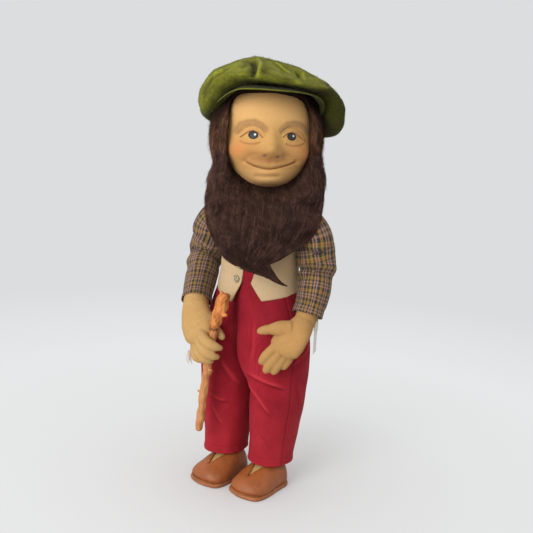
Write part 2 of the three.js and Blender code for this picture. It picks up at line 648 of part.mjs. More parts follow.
// Head: one moulded felt ball with a small nose, cheeks, chin and eye hollows.
const relief = (angle, z) => {
  const off = ((angle / DEG + 90 + 540) % 360) - 180;
  const bump = (centre, height, wide, tall) =>
    Math.exp(-(((off - centre) / wide) ** 2) - ((z - height) / tall) ** 2);
  const pair = (centre, height, wide, tall) => bump(centre, height, wide, tall) + bump(-centre, height, wide, tall);
  return (
    7.5 * bump(0, 357, 8, 8) + 2.6 * bump(0, 366, 7, 9) + 2.4 * pair(36, 351, 17, 11) - 2.6 * pair(22, 371, 11, 6.5) +
    1.6 * bump(0, 342, 20, 8) + 4.5 * bump(0, 328, 20, 6) + 1.2 * bump(0, 383, 50, 7) - 1.4 * bump(0, 338, 18, 2.6)
  );
};
const skull = (grow, swell = relief) =>
  upright(headShape, { grow, sides: 22, rows: 12, swell, matrix: aroundNeck, dense: 0.34 });
piece('head_felt', skull(0).subtract(neck.limbPocket), materials.skinFelt);

// The hair leaves an oval for the face, squarer at the brow than at the chin, and slopes away from it.
const faceWindow = shaped(20, 2, (turn, along, reach) => {
  const [c, v] = [Math.cos(turn), Math.sin(turn)];
  const square = v > 0 ? 0.6 : 0.92;
  const skin = -46 + 24 * c * c;
  const y = along < 0.4 ? -8 : skin - 40 * (along * 2 - 1);
  const out = reach * (along > 0.9 ? 1.42 : 1);
  const tall = v > 0 ? 39 : 48.5;
  return [out * 40 * Math.sign(c) * Math.abs(c) ** square, y, 370 + out * Math.sign(v) * tall * Math.abs(v) ** square];
}, aroundNeck);

const lock = (angle, z) => 0.9 * Math.sin(angle * 9 + z * 0.05) + 0.6 * Math.sin(angle * 5 - z * 0.09);
const wigBody = upright(wigShape, { sides: 18, rows: 8, swell: lock, matrix: aroundNeck });
const bareHead = skull(gap);
const frontHair = new THREE.Matrix4().makeTranslation(0, -48 - 14, 330).premultiply(aroundNeck);
const beardSide = solid(new THREE.BoxGeometry(160, 96, 60), frontHair);
const wig = wigBody.subtract(bareHead).subtract(faceWindow).subtract(beardSide);
piece('wig', wig, materials.mohair);

const beardBody = upright(beardShape, { sides: 18, rows: 8, swell: lock, matrix: aroundNeck });
const beardLimit = new THREE.Matrix4().makeTranslation(0, -48 - 14 - gap, 300).premultiply(aroundNeck);
const inFront = solid(new THREE.BoxGeometry(160, 96, 119), beardLimit);
const clothesClear = trunk(vestOut + 0.5).add(rod(22, at(0, 0, 290), at(0, 0, neckZ + 2), 28));
const frontOfArms = -sleeveRadius - 1.6;
const armClear = bothSides(sleeveRadius + 1.4, 36, shoulderZ)
  .add(box(36, 120, frontOfArms, 60, 200, shoulderZ)).add(box(-120, -36, frontOfArms, 60, 200, shoulderZ));
const wisp = tube([[0, -56, 256], [8, -57, 246], [15, -57.5, 238], [23, -57, 231]], [7, 5, 3, 1.2],
  { sides: 10, rows: 5, matrix: aroundNeck });
const beard = beardBody.intersect(inFront).add(wisp).subtract(bareHead).subtract(faceWindow)
  .subtract(clothesClear).subtract(armClear);
piece('beard', beard, materials.mohair);

// Cap: a full soft crown, gathered at the top and low on one side, over a narrow visor.
// The rim is high over the brow and drops away behind the ears.
const ease = (t) => {
  const u = Math.min(1, Math.max(0, t));
  return u * u * (3 - 2 * u);
};
const rimZ = (x, y) =>
  capRimZ + capRimRise * ease(-y / 62) - 0.16 * Math.max(0, y) - 0.085 * x - 0.02 * Math.max(0, x - 52) ** 1.5;
const topZ = (x, y) =>
  capRimZ + capHeight - 0.2 * Math.max(0, x + 14) - 0.08 * Math.max(0, -14 - x) + (y < 0 ? 0.2 : -0.14) * y;
const crownOutline = [
  [0.66, 0.02], [0.76, -0.03], [0.87, -0.04], [0.955, 0.06], [1, 0.24], [0.99, 0.42],
  [0.93, 0.61], [0.8, 0.79], [0.6, 0.91], [0.36, 0.975], [0.14, 1], [0.03, 1],
];
function crownPoint(turn, along, reach) {
  const at = along * (crownOutline.length - 1);
  const i = Math.min(Math.floor(at), crownOutline.length - 2);
  const [start, end] = [crownOutline[i], crownOutline[i + 1]];
  const out = start[0] + (end[0] - start[0]) * (at - i);
  const up = start[1] + (end[1] - start[1]) * (at - i);
  const pleat = ease((up - 0.3) / 0.5) * (1.9 * Math.sin(7 * turn + 0.4) + 1.3 * Math.sin(4 * turn + 2.2));
  const x = capCentre[0] + reach * Math.cos(turn) * (capHalfWidth * out + pleat * 0.5);
  const y = capCentre[1] + reach * Math.sin(turn) * (capHalfDepth * out + pleat * 0.5);
  const rim = rimZ(x, y);
  return [x, y, rim + up * (topZ(x, y) - rim) + pleat * reach * out];
}
const crownOut = shaped(24, 11, crownPoint, aroundNeck);
const hairClear = upright(wigShape, { grow: gap, sides: 18, rows: 8, swell: lock, matrix: aroundNeck });
piece('cap_crown', crownOut.subtract(hairClear).subtract(bareHead), materials.capFelt);

const visorForm = shaped(6, 12, (turn, along, reach) => {
  const x = (along - 0.5) * 2 * (visorHalfWidth - 0.5);
  const width = Math.sqrt(1 - (x / visorHalfWidth) ** 2);
  const back = 4 - 51 * width;
  const front = -20 - (visorReach - 20) * width;
  const middle = (back + front) / 2;
  const y = middle + (reach * Math.cos(turn) * (back - front)) / 2;
  const arch = visorZ - 10 * (x / visorHalfWidth) ** 4 - 0.02 * x;
  return [1 + x, y, arch + (reach * Math.sin(turn) * capFelt) / 2];
}, aroundNeck);
const crownClear = shaped(24, 11, (turn, along, reach) => {
  const [x, y, z] = crownPoint(turn, along, reach);
  return [x, y, z - gap];
}, aroundNeck);
const visor = visorForm.subtract(hairClear).subtract(bareHead).subtract(crownClear).subtract(crownOut);
piece('cap_visor', visor, materials.capFelt);

// Bare swing tag on a thread at the left cuff.
const tagTop = at(79, -9, 176);
const card = new THREE.Shape([
  new THREE.Vector2(-tagWidth / 2, 0), new THREE.Vector2(-tagWidth / 2, -tagHeight),
  new THREE.Vector2(tagWidth / 2, -tagHeight), new THREE.Vector2(tagWidth / 2, 0),
  new THREE.Vector2(tagWidth / 2 - 5, 4), new THREE.Vector2(-tagWidth / 2 + 5, 4),
]);
card.holes.push(new THREE.Path().absarc(0, 0, 1.6, 0, 2 * Math.PI));
const cardSlab = new THREE.ExtrudeGeometry(card, { depth: tagThick, bevelEnabled: false, curveSegments: 8 });
const cardPlace = new THREE.Matrix4().makeBasis(at(0.47, -0.88, 0).normalize(), at(0, 0, 1), at(-0.88, -0.47, 0).normalize());
piece('tag_card', solid(cardSlab, cardPlace.setPosition(tagTop)), materials.card);
const threadLoop = turned([[-0.4, 2.2], [0.4, 2.2], [0.4, 3.1], [-0.4, 3.1], [-0.4, 2.2]], at(0.47, -0.88, 0).normalize(),
  tagTop.clone().add(at(-0.2, -0.1, 2.2)), 10);
const threadUp = tube([tagTop.clone().add(at(-0.2, -0.1, 5)).toArray(), [80, -6.6, 187], [80.4, -4.6, 194]], [0.5, 0.5, 0.5],
  { sides: 5, rows: 2 });
piece('tag_string', threadLoop.add(threadUp), materials.thread);

// The origin lies on the floor under the middle of the doll.
const extent = new THREE.Box3().setFromObject(group);
const middle = extent.getCenter(new THREE.Vector3());
group.children.forEach((mesh) => mesh.geometry.translate(-middle.x, -middle.y, 0));

export default group;
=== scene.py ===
import math

import bpy
import numpy as np
from mathutils import Matrix, Vector


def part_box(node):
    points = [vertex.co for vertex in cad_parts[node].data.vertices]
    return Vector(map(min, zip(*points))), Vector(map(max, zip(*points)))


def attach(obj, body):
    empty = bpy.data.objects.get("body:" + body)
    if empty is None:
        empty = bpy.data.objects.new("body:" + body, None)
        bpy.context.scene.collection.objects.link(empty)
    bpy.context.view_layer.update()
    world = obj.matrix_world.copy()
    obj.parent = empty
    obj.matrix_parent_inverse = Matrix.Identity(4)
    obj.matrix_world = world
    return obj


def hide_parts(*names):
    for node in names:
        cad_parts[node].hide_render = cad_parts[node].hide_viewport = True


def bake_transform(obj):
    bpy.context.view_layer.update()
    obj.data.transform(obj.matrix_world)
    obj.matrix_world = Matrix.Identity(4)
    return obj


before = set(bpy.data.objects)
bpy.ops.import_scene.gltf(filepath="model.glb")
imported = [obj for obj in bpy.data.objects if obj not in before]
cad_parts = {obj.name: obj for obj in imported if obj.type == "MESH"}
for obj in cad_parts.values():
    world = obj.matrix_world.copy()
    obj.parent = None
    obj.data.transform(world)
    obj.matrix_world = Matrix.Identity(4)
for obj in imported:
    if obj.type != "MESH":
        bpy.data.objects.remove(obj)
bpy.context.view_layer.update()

# Bearded felt doll. Places and sizes are millimetres from the doll's own axis, before the frame's shift.
MM = 0.001
disc_low, disc_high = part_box("neck_disc_inner")
AXIS = np.array([(disc_low.x + disc_high.x) / 2, (disc_low.y + disc_high.y) / 2, 0.0])
SIDES = {"right": -1, "left": 1}
HEAD_TURN = math.radians(35)
SHOE_LENGTH = 66
SHOE_WIDTH = 43
SOLE_THICK = 4.4
SOLE_EDGE = 0.3
FOOT_TURN = math.radians(-12)
FOOT_PLACES = {"right": (-26.6, -16.0), "left": (23.2, -18.0)}

# Outlines as rows of height, half width, half depth, centre y and, where it moves, centre x.
TORSO = [
    (144.6, 10, 12, 0), (149, 24, 20, 0), (158, 33, 26, 0), (172, 37, 27, 0), (200, 39, 27, 0),
    (216, 39, 26.5, 0), (234, 37.5, 26, 0), (254, 37.5, 27, 0), (270, 40, 28, 0), (286, 41.5, 27, 0),
    (296, 37, 24, 0), (302, 27, 20, 0), (306, 18, 17.6, 0), (312, 17.5, 17.5, 0),
]
HEAD = [
    (312.4, 18, 18, 0), (318, 20, 20, -1), (324, 27, 29, -5), (332, 34, 38, -6), (342, 40, 43, -5),
    (354, 44.5, 46, -3), (368, 46.5, 47.5, -1), (384, 46.5, 47, 1), (399, 43.5, 45, 2),
    (412, 37, 39, 3), (423, 26, 28, 3), (430, 11, 12, 3),
]
WIG = [
    (314, 41, 37, 7, 0), (326, 51, 48, 6, 0), (344, 56, 55, 4, 0), (364, 57.5, 58, 3, 0), (382, 57.5, 58, 3, 0),
    (398, 54.5, 55, 3, 0), (411, 49, 50.5, 3, 0), (422, 38, 40, 3, 0), (430, 22, 24, 3, 0), (434, 8, 9, 3, 0),
]
BEARD = [
    (244, 11, 6, -56, -18), (250, 23, 10, -54, -15), (258, 34, 14.5, -51, -11.5), (270, 46.5, 19, -49, -7),
    (286, 55, 23, -44, -4), (302, 57, 29, -37, -3), (320, 57.5, 35, -27, -0.5), (338, 56.5, 40, -17, 0.5),
    (352, 56, 42, -12, 0.5), (360, 54, 40, -9, 0.5),
]


def sample(table, heights):
    """Smooth values between the rows of an outline: one array for each of its columns after the height."""
    rows = np.array(table, float)
    z, values = rows[:, 0], rows[:, 1:]
    heights = np.asarray(heights, float)
    at = heights.reshape(-1)
    spans = np.diff(z)
    slopes = np.diff(values, axis=0) / spans[:, None]
    ends = np.vstack([slopes[:1], (slopes[:-1] + slopes[1:]) / 2, slopes[-1:]])
    i = np.clip(np.searchsorted(z, at, side="right") - 1, 0, len(spans) - 1)
    t = np.clip((at - z[i]) / spans[i], 0, 1)[:, None]
    span = spans[i][:, None]
    made = (
        values[i] * (2 * t**3 - 3 * t**2 + 1) + ends[i] * span * (t**3 - 2 * t**2 + t)
        + values[i + 1] * (3 * t**2 - 2 * t**3) + ends[i + 1] * span * (t**3 - t**2)
    )
    return made.T.reshape(-1, *heights.shape)


def ease(t):
    t = np.clip(t, 0, 1)
    return t * t * (3 - 2 * t)


def bell(x, wide=1.0):
    """1 at 0, falling off over `wide` to each side."""
    return np.exp(-((x / wide) ** 2))


def spot(x, z, cx, cz, wide, tall, power=2):
    return np.exp(-(((x - cx) / wide) ** power) - ((z - cz) / tall) ** 2)


def xyz(*parts):
    return np.stack(np.broadcast_arrays(*parts), axis=-1)


def unit(vectors):
    return vectors / (np.linalg.norm(vectors, axis=-1, keepdims=True) + 1e-9)


def circle(count):
    return np.linspace(0, 2 * math.pi, count + 1)[:-1]


def columns(rows):
    """The columns of a table, each as an upright array that goes with a row of angles."""
    return [column[:, None] for column in np.array(rows, float).T]


def stretches(start, *parts):
    """Values from start on through each part, which is its end and how many values it takes."""
    made = [start]
    for end, count in parts:
        made.extend(np.linspace(made[-1], end, count)[1:])
    return np.array(made)


def run(points):
    """How far along a line each of its points lies."""
    return np.concatenate([[0], np.cumsum(np.linalg.norm(np.diff(points, axis=0), axis=1))])


def round_form(table, turn, z, grow):
    """Points round one of the outlines, moved out by grow. turn is 0 at the front."""
    a, b, cy = sample(table, z)
    return xyz(np.sin(turn) * (a + grow), cy - np.cos(turn) * (b + grow), z)


def wrapped(turn):
    return (turn + math.pi) % (2 * math.pi) - math.pi


def rounded(values):
    """Takes the corners off a line of values."""
    kernel = np.hanning(13) / np.hanning(13).sum()
    return np.convolve(np.pad(values, 6, mode="edge"), kernel, mode="valid")


def ripple(points, size, seed, waves=7):
    """Smooth noise from -1 to 1: a sum of sine waves in random directions, `size` mm from crest to crest."""
    rng = np.random.default_rng(seed)
    total = np.zeros(points.shape[:-1])
    for _ in range(waves):
        way = rng.normal(size=3)
        way /= np.linalg.norm(way)
        length = size * rng.uniform(0.7, 1.5)
        total += np.sin(points @ way * (2 * math.pi / length) + rng.uniform(0, 2 * math.pi))
    return total / waves * 1.6


def to_segments(x, z, route):
    """For each stretch of a route: how far along it each point lies, 0 to 1, and the steps from there to the point."""
    for (x0, z0), (x1, z1) in zip(route, route[1:]):
        dx, dz = x1 - x0, z1 - z0
        t = np.clip(((x - x0) * dx + (z - z0) * dz) / (dx * dx + dz * dz), 0, 1)
        yield t, x - x0 - t * dx, z - z0 - t * dz


def stroke(x, z, route, width, lift=0.0):
    """1 on a route drawn in x and z and raised by `lift`, falling off over `width` mm to each side."""
    route = [(p, q + lift) for p, q in route]
    best = np.min([dx**2 + dz**2 for _, dx, dz in to_segments(x, z, route)], axis=0)
    return np.exp(-best / width**2)


def curved(points, count):
    """A Catmull-Rom curve through points, as `count` points."""
    p = np.array(points, float)
    padded = np.vstack([2 * p[0] - p[1], p, 2 * p[-1] - p[-2]])
    at = np.linspace(0, len(p) - 1, count)
    i = np.minimum(at.astype(int), len(p) - 2)
    t = (at - i)[:, None]
    a, b, c, d = padded[i], padded[i + 1], padded[i + 2], padded[i + 3]
    return 0.5 * (2 * b + (c - a) * t + (2 * a - 5 * b + 4 * c - d) * t**2 + (3 * b - a - 3 * c + d) * t**3)


def turned(points, angle, shift=(0, 0)):
    """Turns points about the z axis, then moves them in x and y."""
    c, s = math.cos(angle), math.sin(angle)
    x, y, z = np.moveaxis(np.asarray(points, float), -1, 0)
    return xyz(x * c - y * s + shift[0], x * s + y * c + shift[1], z)


def around_neck(points):
    """Turns points from the head's own directions into the body's."""
    return turned(points, HEAD_TURN)


def linked(name, data):
    obj = bpy.data.objects.new(name, data)
    bpy.context.scene.collection.objects.link(obj)
    return obj


def raw_mesh(name, points, faces):
    mesh = bpy.data.meshes.new(name)
    placed = np.asarray(points, float).reshape(-1, 3) * MM + AXIS
    mesh.from_pydata(placed.tolist(), [], [list(face) for face in faces])
    return mesh


def set_marks(mesh, marks):
    """Keeps named values on the points, for the material."""
    for key, values in marks.items():
        values = np.asarray(values, np.float32)
        if values.size == len(mesh.vertices):
            mesh.attributes.new(key, "FLOAT", "POINT").data.foreach_set("value", values.ravel())
        else:
            mesh.attributes.new(key, "FLOAT_VECTOR", "POINT").data.foreach_set("vector", values.ravel())


def dressed(name, mesh, material, smooth=True):
    mesh.polygons.foreach_set("use_smooth", [smooth] * len(mesh.polygons))
    mesh.materials.clear()
    mesh.materials.append(material)
    return linked(name, mesh)


def make_mesh(name, points, faces, material, smooth=True, **marks):
    """An object from points in mm, whose marks the material reads."""
    mesh = raw_mesh(name, points, faces)
    mesh.validate()
    set_marks(mesh, marks)
    return dressed(name, mesh, material, smooth)


def grid_faces(rows, columns, wrap):
    """Four-sided faces of a grid of points, closed round its columns if wrap is true."""
    r = np.arange(rows - 1)[:, None]
    c = np.arange(columns if wrap else columns - 1)[None, :]
    a, b = r * columns + c, r * columns + (c + 1) % columns
    return xyz(a, b, b + columns, a + columns).reshape(-1, 4)


def grid(name, points, material, wrap=True, flip=False, **marks):
    faces = grid_faces(*points.shape[:2], wrap)
    return make_mesh(name, points, faces[:, ::-1] if flip else faces, material, **marks)


def prism(outline, low, high):
    """Points and faces of a slab between two copies of an outline, moved by low and high."""
    outline = np.asarray(outline, float)
    count = len(outline)
    k = np.arange(count)
    sides = xyz(k, (k + 1) % count, (k + 1) % count + count, k + count).tolist()
    ends = [list(range(count))[::-1], list(range(count, 2 * count))]
    return np.vstack([outline + low, outline + high]), sides + ends


def carried(obj, body, slot, *nodes):
    if nodes:
        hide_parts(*nodes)
    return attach(obj, body)


def crossing(obj, bodies, start, end, slot, *nodes):
    """A soft piece between two bodies, fixed where it is made; it hides the parts it replaces. start and end are in mm,
    and are not used.
    """
    if nodes:
        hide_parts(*nodes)
    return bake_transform(obj)


# Materials

def feed(tree, socket, value):
    if isinstance(value, bpy.types.NodeSocket):
        tree.links.new(value, socket)
    else:
        socket.default_value = (*value, 1) if socket.type == "RGBA" and len(value) == 3 else value


def add_node(tree, kind, inputs=None, output=0, **settings):
    node = tree.nodes.new("ShaderNode" + kind)
    for key, value in settings.items():
        setattr(node, key, value)
    for key, value in (inputs or {}).items():
        feed(tree, node.inputs[key], value)
    return node.outputs[output]


def map_range(tree, value, low, high, out_low=0.0, out_high=1.0):
    inputs = {"Value": value, "From Min": low, "From Max": high, "To Min": out_low, "To Max": out_high}
    return add_node(tree, "MapRange", inputs)


class Nodes:
    """Builds one material's nodes."""

    def __init__(self, name):
        self.material = bpy.data.materials.new(name)
        self.material.use_nodes = True
        self.tree = self.material.node_tree
        self.shader = self.tree.nodes["Principled BSDF"]

    def add(self, kind, inputs=None, output=0, **settings):
        return add_node(self.tree, kind, inputs, output, **settings)

    def scaled(self, where, factors):
        return self.add("VectorMath", {0: where, 1: factors}, operation="MULTIPLY")

    def place(self):
        """Places on the object, in mm."""
        return self.scaled(self.add("TexCoord", output="Object"), (1000, 1000, 1000))

    def mark(self, name, output="Fac"):
        return self.add("Attribute", output=output, attribute_name=name)

    def noise(self, where, size, detail, rough, stretch=(1, 1, 1)):
        where = self.scaled(where, tuple(s / size for s in stretch))
        return self.add("TexNoise", {"Vector": where, "Scale": 1.0, "Detail": detail, "Roughness": rough})

    def math(self, operation, a, b=0.0):
        return self.add("Math", {0: a, 1: b}, operation=operation)

    def times(self, a, b):
        return self.math("MULTIPLY", a, b)

    def plus(self, a, b):
        return self.math("ADD", a, b)

    def parts(self, where):
        return self.add("SeparateXYZ", {0: where}).node.outputs

    def ramp(self, factor, stops, interpolation="LINEAR"):
        made = self.add("ValToRGB", {"Fac": factor}, output="Color")
        ramp = made.node.color_ramp
        ramp.interpolation = interpolation
        while len(ramp.elements) < len(stops):
            ramp.elements.new(0.5)
        for element, (at, color) in zip(ramp.elements, stops):
            element.position = at
            element.color = (*color, 1)
        return made

    def tones(self, factor, color, *stops):
        """A ramp through lighter and darker tones of one colour."""
        return self.ramp(factor, [(at, tone(color, share)) for at, share in stops])

    def grey(self, factor, *limits):
        return map_range(self.tree, factor, *limits)

    def mix(self, factor, a, b):
        return self.add("Mix", {0: factor, 6: a, 7: b}, output=2, data_type="RGBA")

    def painted(self, base, share=1.0, **colors):
        """Lays a colour on the base wherever the mark of its name says."""
        for name, color in colors.items():
            mark = self.mark(name)
            base = self.mix(mark if share == 1 else self.times(mark, share), base, color)
        return base

    def bump(self, height, strength, distance):
        return self.add("Bump", {"Height": height, "Strength": strength, "Distance": distance})

    def finish(self, color, rough, normal=None, **constants):
        for key, value in {"Base Color": color, "Roughness": rough, "Normal": normal, **constants}.items():
            if value is not None:
                feed(self.tree, self.shader.inputs[key.replace("_", " ")], value)
        return self.material


def tone(color, share):
    return tuple(min(1.0, c * share) for c in color)


def felt(name, color, depth, patch, sheen=0.0, worn=False):
    """Wool felt: matted fibres, soft patches of light and dark, and a short fuzz that catches light."""
    n = Nodes(name)
    where = n.place()
    fibres = n.noise(where, 0.9, 4, 0.7)
    matted = n.noise(where, 3.5, 5, 0.65)
    clouds = n.noise(where, 22, 3, 0.5)
    base = n.tones(matted, color, (0.25, 1 - 1.3 * patch), (0.5, 1), (0.78, 1 + patch))
    base = n.mix(n.grey(clouds, 0.35, 0.7, 0.0, 0.55), base, tone(color, 1 - patch))
    base = n.mix(n.grey(fibres, 0.55, 0.8, 0.0, 0.315), base, tone(color, 1.35))
    # Painted highlight where the lit mark says, and painted shade where the deep mark says.
    if worn:
        base = n.painted(base, lit=tone(color, 1.75), deep=tone(color, 0.12))
    height = n.plus(n.times(fibres, 0.6), matted)
    return n.finish(base, n.grey(fibres, 0.3, 0.7, 0.9, 1.0), n.bump(height, depth, 0.0006),
                    Sheen_Weight=sheen, Sheen_Roughness=0.5, Specular_IOR_Level=0.15)


# The painted face, by x and z seen from the front.
SKIN = (0.6, 0.335, 0.115)
BROW_ROUTES = {
    "right": [(-32.6, 373.2), (-28.8, 379.2), (-23.0, 381.4), (-16.6, 382.2), (-10.4, 379.2), (-7.0, 375.6)],
    "left": [(8.4, 375.9), (13.2, 380.9), (20.3, 382.7), (27.3, 381.6), (31.7, 378.9), (34.2, 375.1)],
}
LID_ROUTES = {
    "right": [(-29.2, 367.3), (-26.2, 370.1), (-22.8, 372.7), (-18.1, 374.2), (-13.4, 372.3), (-8.9, 368.0)],
    "left": [(11.3, 369.5), (15.2, 372.8), (19.7, 374.2), (24.6, 372.9), (30.1, 368.9), (33.2, 366.4)],
}
FOLD_ROUTES = {
    "right": [(-32.4, 368.2), (-28.1, 373.0), (-22.8, 376.2), (-16.4, 376.9), (-9.7, 374.1), (-5.7, 368.6)],
    "left": [(8.7, 371.7), (12.5, 375.7), (18.5, 377.2), (24.9, 376.2), (30.7, 373.1), (34.7, 368.4)],
}
BAG_ROUTES = {
    "right": [(-29.1, 363.5), (-25.3, 361.8), (-21.2, 361.1), (-15.6, 361.3), (-11.2, 363.1)],
    "left": [(14.2, 362.9), (20.6, 361.0), (28.1, 361.7), (32.6, 363.5)],
}
EYES = {"right": (-17.9, 370.0), "left": (19.7, 370.3)}
MOUTH_ROUTE = [
    (-22.9, 344.0), (-19.4, 342.0), (-14.6, 340.1), (-8.0, 338.8), (-0.7, 338.3),
    (7.5, 339.8), (16.5, 342.4), (20.6, 344.0), (24.4, 345.6),
]
CHIN_ROUTE = [(-12.3, 331.1), (-4.7, 330.8), (7.9, 332.1)]
SMILE_LINES = [(-10.5, 353), (-19, 350.5), (-25.5, 344.5)], [(11, 352.5), (20, 351), (27, 346)]
NOSTRILS = [(-5.9, 350.9), (5.9, 350.4)]
CHEEKS = [(-30.5, 354.5), (34.0, 355.5)]


def painted_face():
    """The face's felt with its painted brows, eyes, nostrils, smile and blush, and painted light and shade on the skin.
    """
    n = Nodes("face_felt")
    where = n.place()
    fibres = n.noise(where, 0.9, 4, 0.7)
    matted = n.noise(where, 3.5, 5, 0.65)
    clouds = n.noise(where, 20, 3, 0.5)
    base = n.tones(matted, SKIN, (0.25, 0.9), (0.5, 1), (0.8, 1.08))
    base = n.mix(n.grey(clouds, 0.4, 0.7, 0, 0.4), base, tone(SKIN, 0.9))
    # pale is painted light and shade is painted shade; blush is the doll's own paint.
    base = n.painted(base, blush=(0.62, 0.2, 0.06), pale=(0.8, 0.47, 0.185), shade=(0.36, 0.17, 0.06))
    brow_hair = n.noise(where, 1.4, 3, 0.6, (1.0, 1.0, 0.35))
    base = n.mix(n.times(n.mark("brow"), n.grey(brow_hair, 0.3, 0.62, 0.6, 1.0)), base, (0.35, 0.19, 0.085))
    base = n.painted(base, line=(0.22, 0.075, 0.03), nostril=(0.14, 0.07, 0.075))
    iris = n.ramp(n.mark("iris"), [
        (0.0, (0.012, 0.013, 0.017)), (0.38, (0.05, 0.054, 0.06)),
        (0.75, (0.026, 0.028, 0.032)), (1.0, (0.009, 0.009, 0.011)),
    ])
    base = n.painted(base, eye=iris, glint=(0.9, 0.9, 0.88))
    rough = n.mix(n.mark("eye"), (0.95, 0.95, 0.95), (0.35, 0.35, 0.35))
    height = n.plus(n.times(fibres, 0.5), matted)
    return n.finish(base, rough, n.bump(height, 0.35, 0.0005), Sheen_Weight=0.05, Sheen_Roughness=0.5,
                    Specular_IOR_Level=0.15)


def mohair(name, color, tip):
    """Mohair strands: each has its own shade, and locks of them are lighter or darker together."""
    n = Nodes(name)
    base = n.tones(n.mark("tint"), color, (0.0, 0.18), (0.3, 0.75), (0.65, 1.5), (1.0, 3.4))
    base = n.mix(n.grey(n.mark("along"), 0.4, 1.0, 0.0, 0.3), base, tip)
    locks = n.noise(n.place(), 8, 4, 0.65)
    base = n.mix(n.grey(locks, 0.35, 0.6, 0.7, 0.0), base, tone(color, 0.35))
    return n.finish(base, 0.75, Specular_IOR_Level=0.15)


def mohair_ground(name, color):
    """The dense pile under the strands."""
    n = Nodes(name)
    where = n.mark("pile", "Vector")
    streaks = n.noise(where, 1.0, 5, 0.7, (1.0, 1.0, 0.3))
    locks = n.noise(where, 8, 4, 0.65)
    base = n.tones(streaks, color, (0.3, 0.5), (0.5, 0.95), (0.75, 1.6))
    base = n.mix(n.grey(locks, 0.35, 0.62, 0.5, 0.0), base, tone(color, 0.45))
    # Painted shade: darker under the cap, where the under mark says.
    base = n.painted(base, under=tone(color, 0.15))
    height = n.plus(n.times(streaks, 0.8), locks)
    return n.finish(base, 0.9, n.bump(height, 0.7, 0.0014), Specular_IOR_Level=0.08)


# One repeat of the check, in mm, and its stripes: navy line, green and mustard stripe with a rust heart,
# navy line, pink stripe.
TARTAN = 12.8
NAVY, GREEN, MUSTARD = (0.008, 0.01, 0.018), (0.06, 0.1, 0.018), (0.33, 0.18, 0.03)
RUST, PINK, MAUVE = (0.25, 0.075, 0.025), (0.32, 0.185, 0.13), (0.1, 0.045, 0.045)
TARTAN_STRIPES = [
    (0.0, NAVY), (0.115, GREEN), (0.16, MUSTARD), (0.22, RUST), (0.28, MUSTARD), (0.345, GREEN),
    (0.39, NAVY), (0.505, MAUVE), (0.54, PINK), (0.65, MAUVE), (0.69, NAVY), (0.725, MAUVE),
    (0.77, PINK), (0.89, MAUVE), (0.94, NAVY),
]


def tartan(name):
    """Brushed cotton check, woven from the same stripes both ways. `cloth` holds mm across and along the cloth."""
    n = Nodes(name)
    cloth = n.mark("cloth", "Vector")
    ways = n.parts(cloth)[:2]
    shift = n.grey(n.noise(cloth, 14, 2, 0.5), 0.3, 0.7, -0.35, 0.35)
    stripes = [
        n.ramp(n.math("FRACT", n.math("DIVIDE", n.plus(way, shift), TARTAN)), TARTAN_STRIPES, "CONSTANT")
        for way in ways
    ]
    yarn = n.times(*(n.math("SINE", n.times(way, 9.0)) for way in ways))
    base = n.mix(n.grey(yarn, -1.0, 1.0, 0.29, 0.5), *stripes)
    nap = n.noise(n.place(), 1.2, 4, 0.7)
    base = n.mix(n.grey(nap, 0.45, 0.75, 0.0, 0.22), base, (0.5, 0.36, 0.22))
    # Painted shade in the sleeves' folds and on their inner sides, where the crease mark says.
    base = n.painted(base, 0.85, crease=(0.012, 0.008, 0.008))
    base = n.painted(base, strip=(0.05, 0.007, 0.014))
    height = n.plus(n.times(yarn, 0.3), nap)
    return n.finish(base, 0.9, n.bump(height, 0.4, 0.0004), Sheen_Weight=0.15, Sheen_Roughness=0.5,
                    Specular_IOR_Level=0.2)


WALE = 1.3


def corduroy(name):
    """Fine-wale cord. `cloth` holds mm across and along the cloth."""
    n = Nodes(name)
    wale = n.math("SINE", n.times(n.parts(n.mark("cloth", "Vector"))[0], 2 * math.pi / WALE))
    nap = n.noise(n.place(), 1.0, 4, 0.7)
    clouds = n.noise(n.place(), 26, 4, 0.55)
    base = n.ramp(clouds, [(0.3, (0.25, 0.006, 0.016)), (0.55, (0.34, 0.011, 0.024)), (0.8, (0.41, 0.02, 0.034))])
    base = n.mix(n.grey(wale, -1.0, 0.4, 0.35, 0.0), base, (0.16, 0.003, 0.01))
    base = n.mix(n.grey(nap, 0.5, 0.8, 0.0, 0.3), base, (0.5, 0.025, 0.035))
    # Painted highlight on fold ridges and painted light towards the hems, then painted shade in the creases.
    base = n.painted(base, 0.7, worn=(0.58, 0.036, 0.048))
    base = n.painted(base, 0.6, crease=(0.08, 0.002, 0.006))
    height = n.plus(n.times(wale, 0.5), n.times(nap, 0.8))
    return n.finish(base, 0.85, n.bump(height, 0.45, 0.0004), Sheen_Weight=0.08, Sheen_Roughness=0.35,
                    Sheen_Tint=(1.0, 0.3, 0.35), Specular_IOR_Level=0.2)


def leather(name, color, rough=0.5):
    """Glove leather: fine grain, creases, and paler where it is rubbed."""
    n = Nodes(name)
    where = n.place()
    grain = n.add("TexVoronoi", {"Vector": where, "Scale": 1.3}, output="Distance", feature="F1")
    creases = n.noise(where, 9, 5, 0.65)
    clouds = n.noise(where, 24, 3, 0.5)
    base = n.tones(creases, color, (0.25, 0.72), (0.5, 1), (0.8, 1.3))
    base = n.mix(n.grey(clouds, 0.45, 0.75, 0, 0.5), base, tone(color, 1.45))
    height = n.plus(n.times(grain, 0.3), creases)
    return n.finish(base, n.grey(creases, 0.3, 0.7, rough + 0.1, rough - 0.08), n.bump(height, 0.3, 0.0006),
                    Specular_IOR_Level=0.4, Coat_Weight=0.08, Coat_Roughness=0.4)


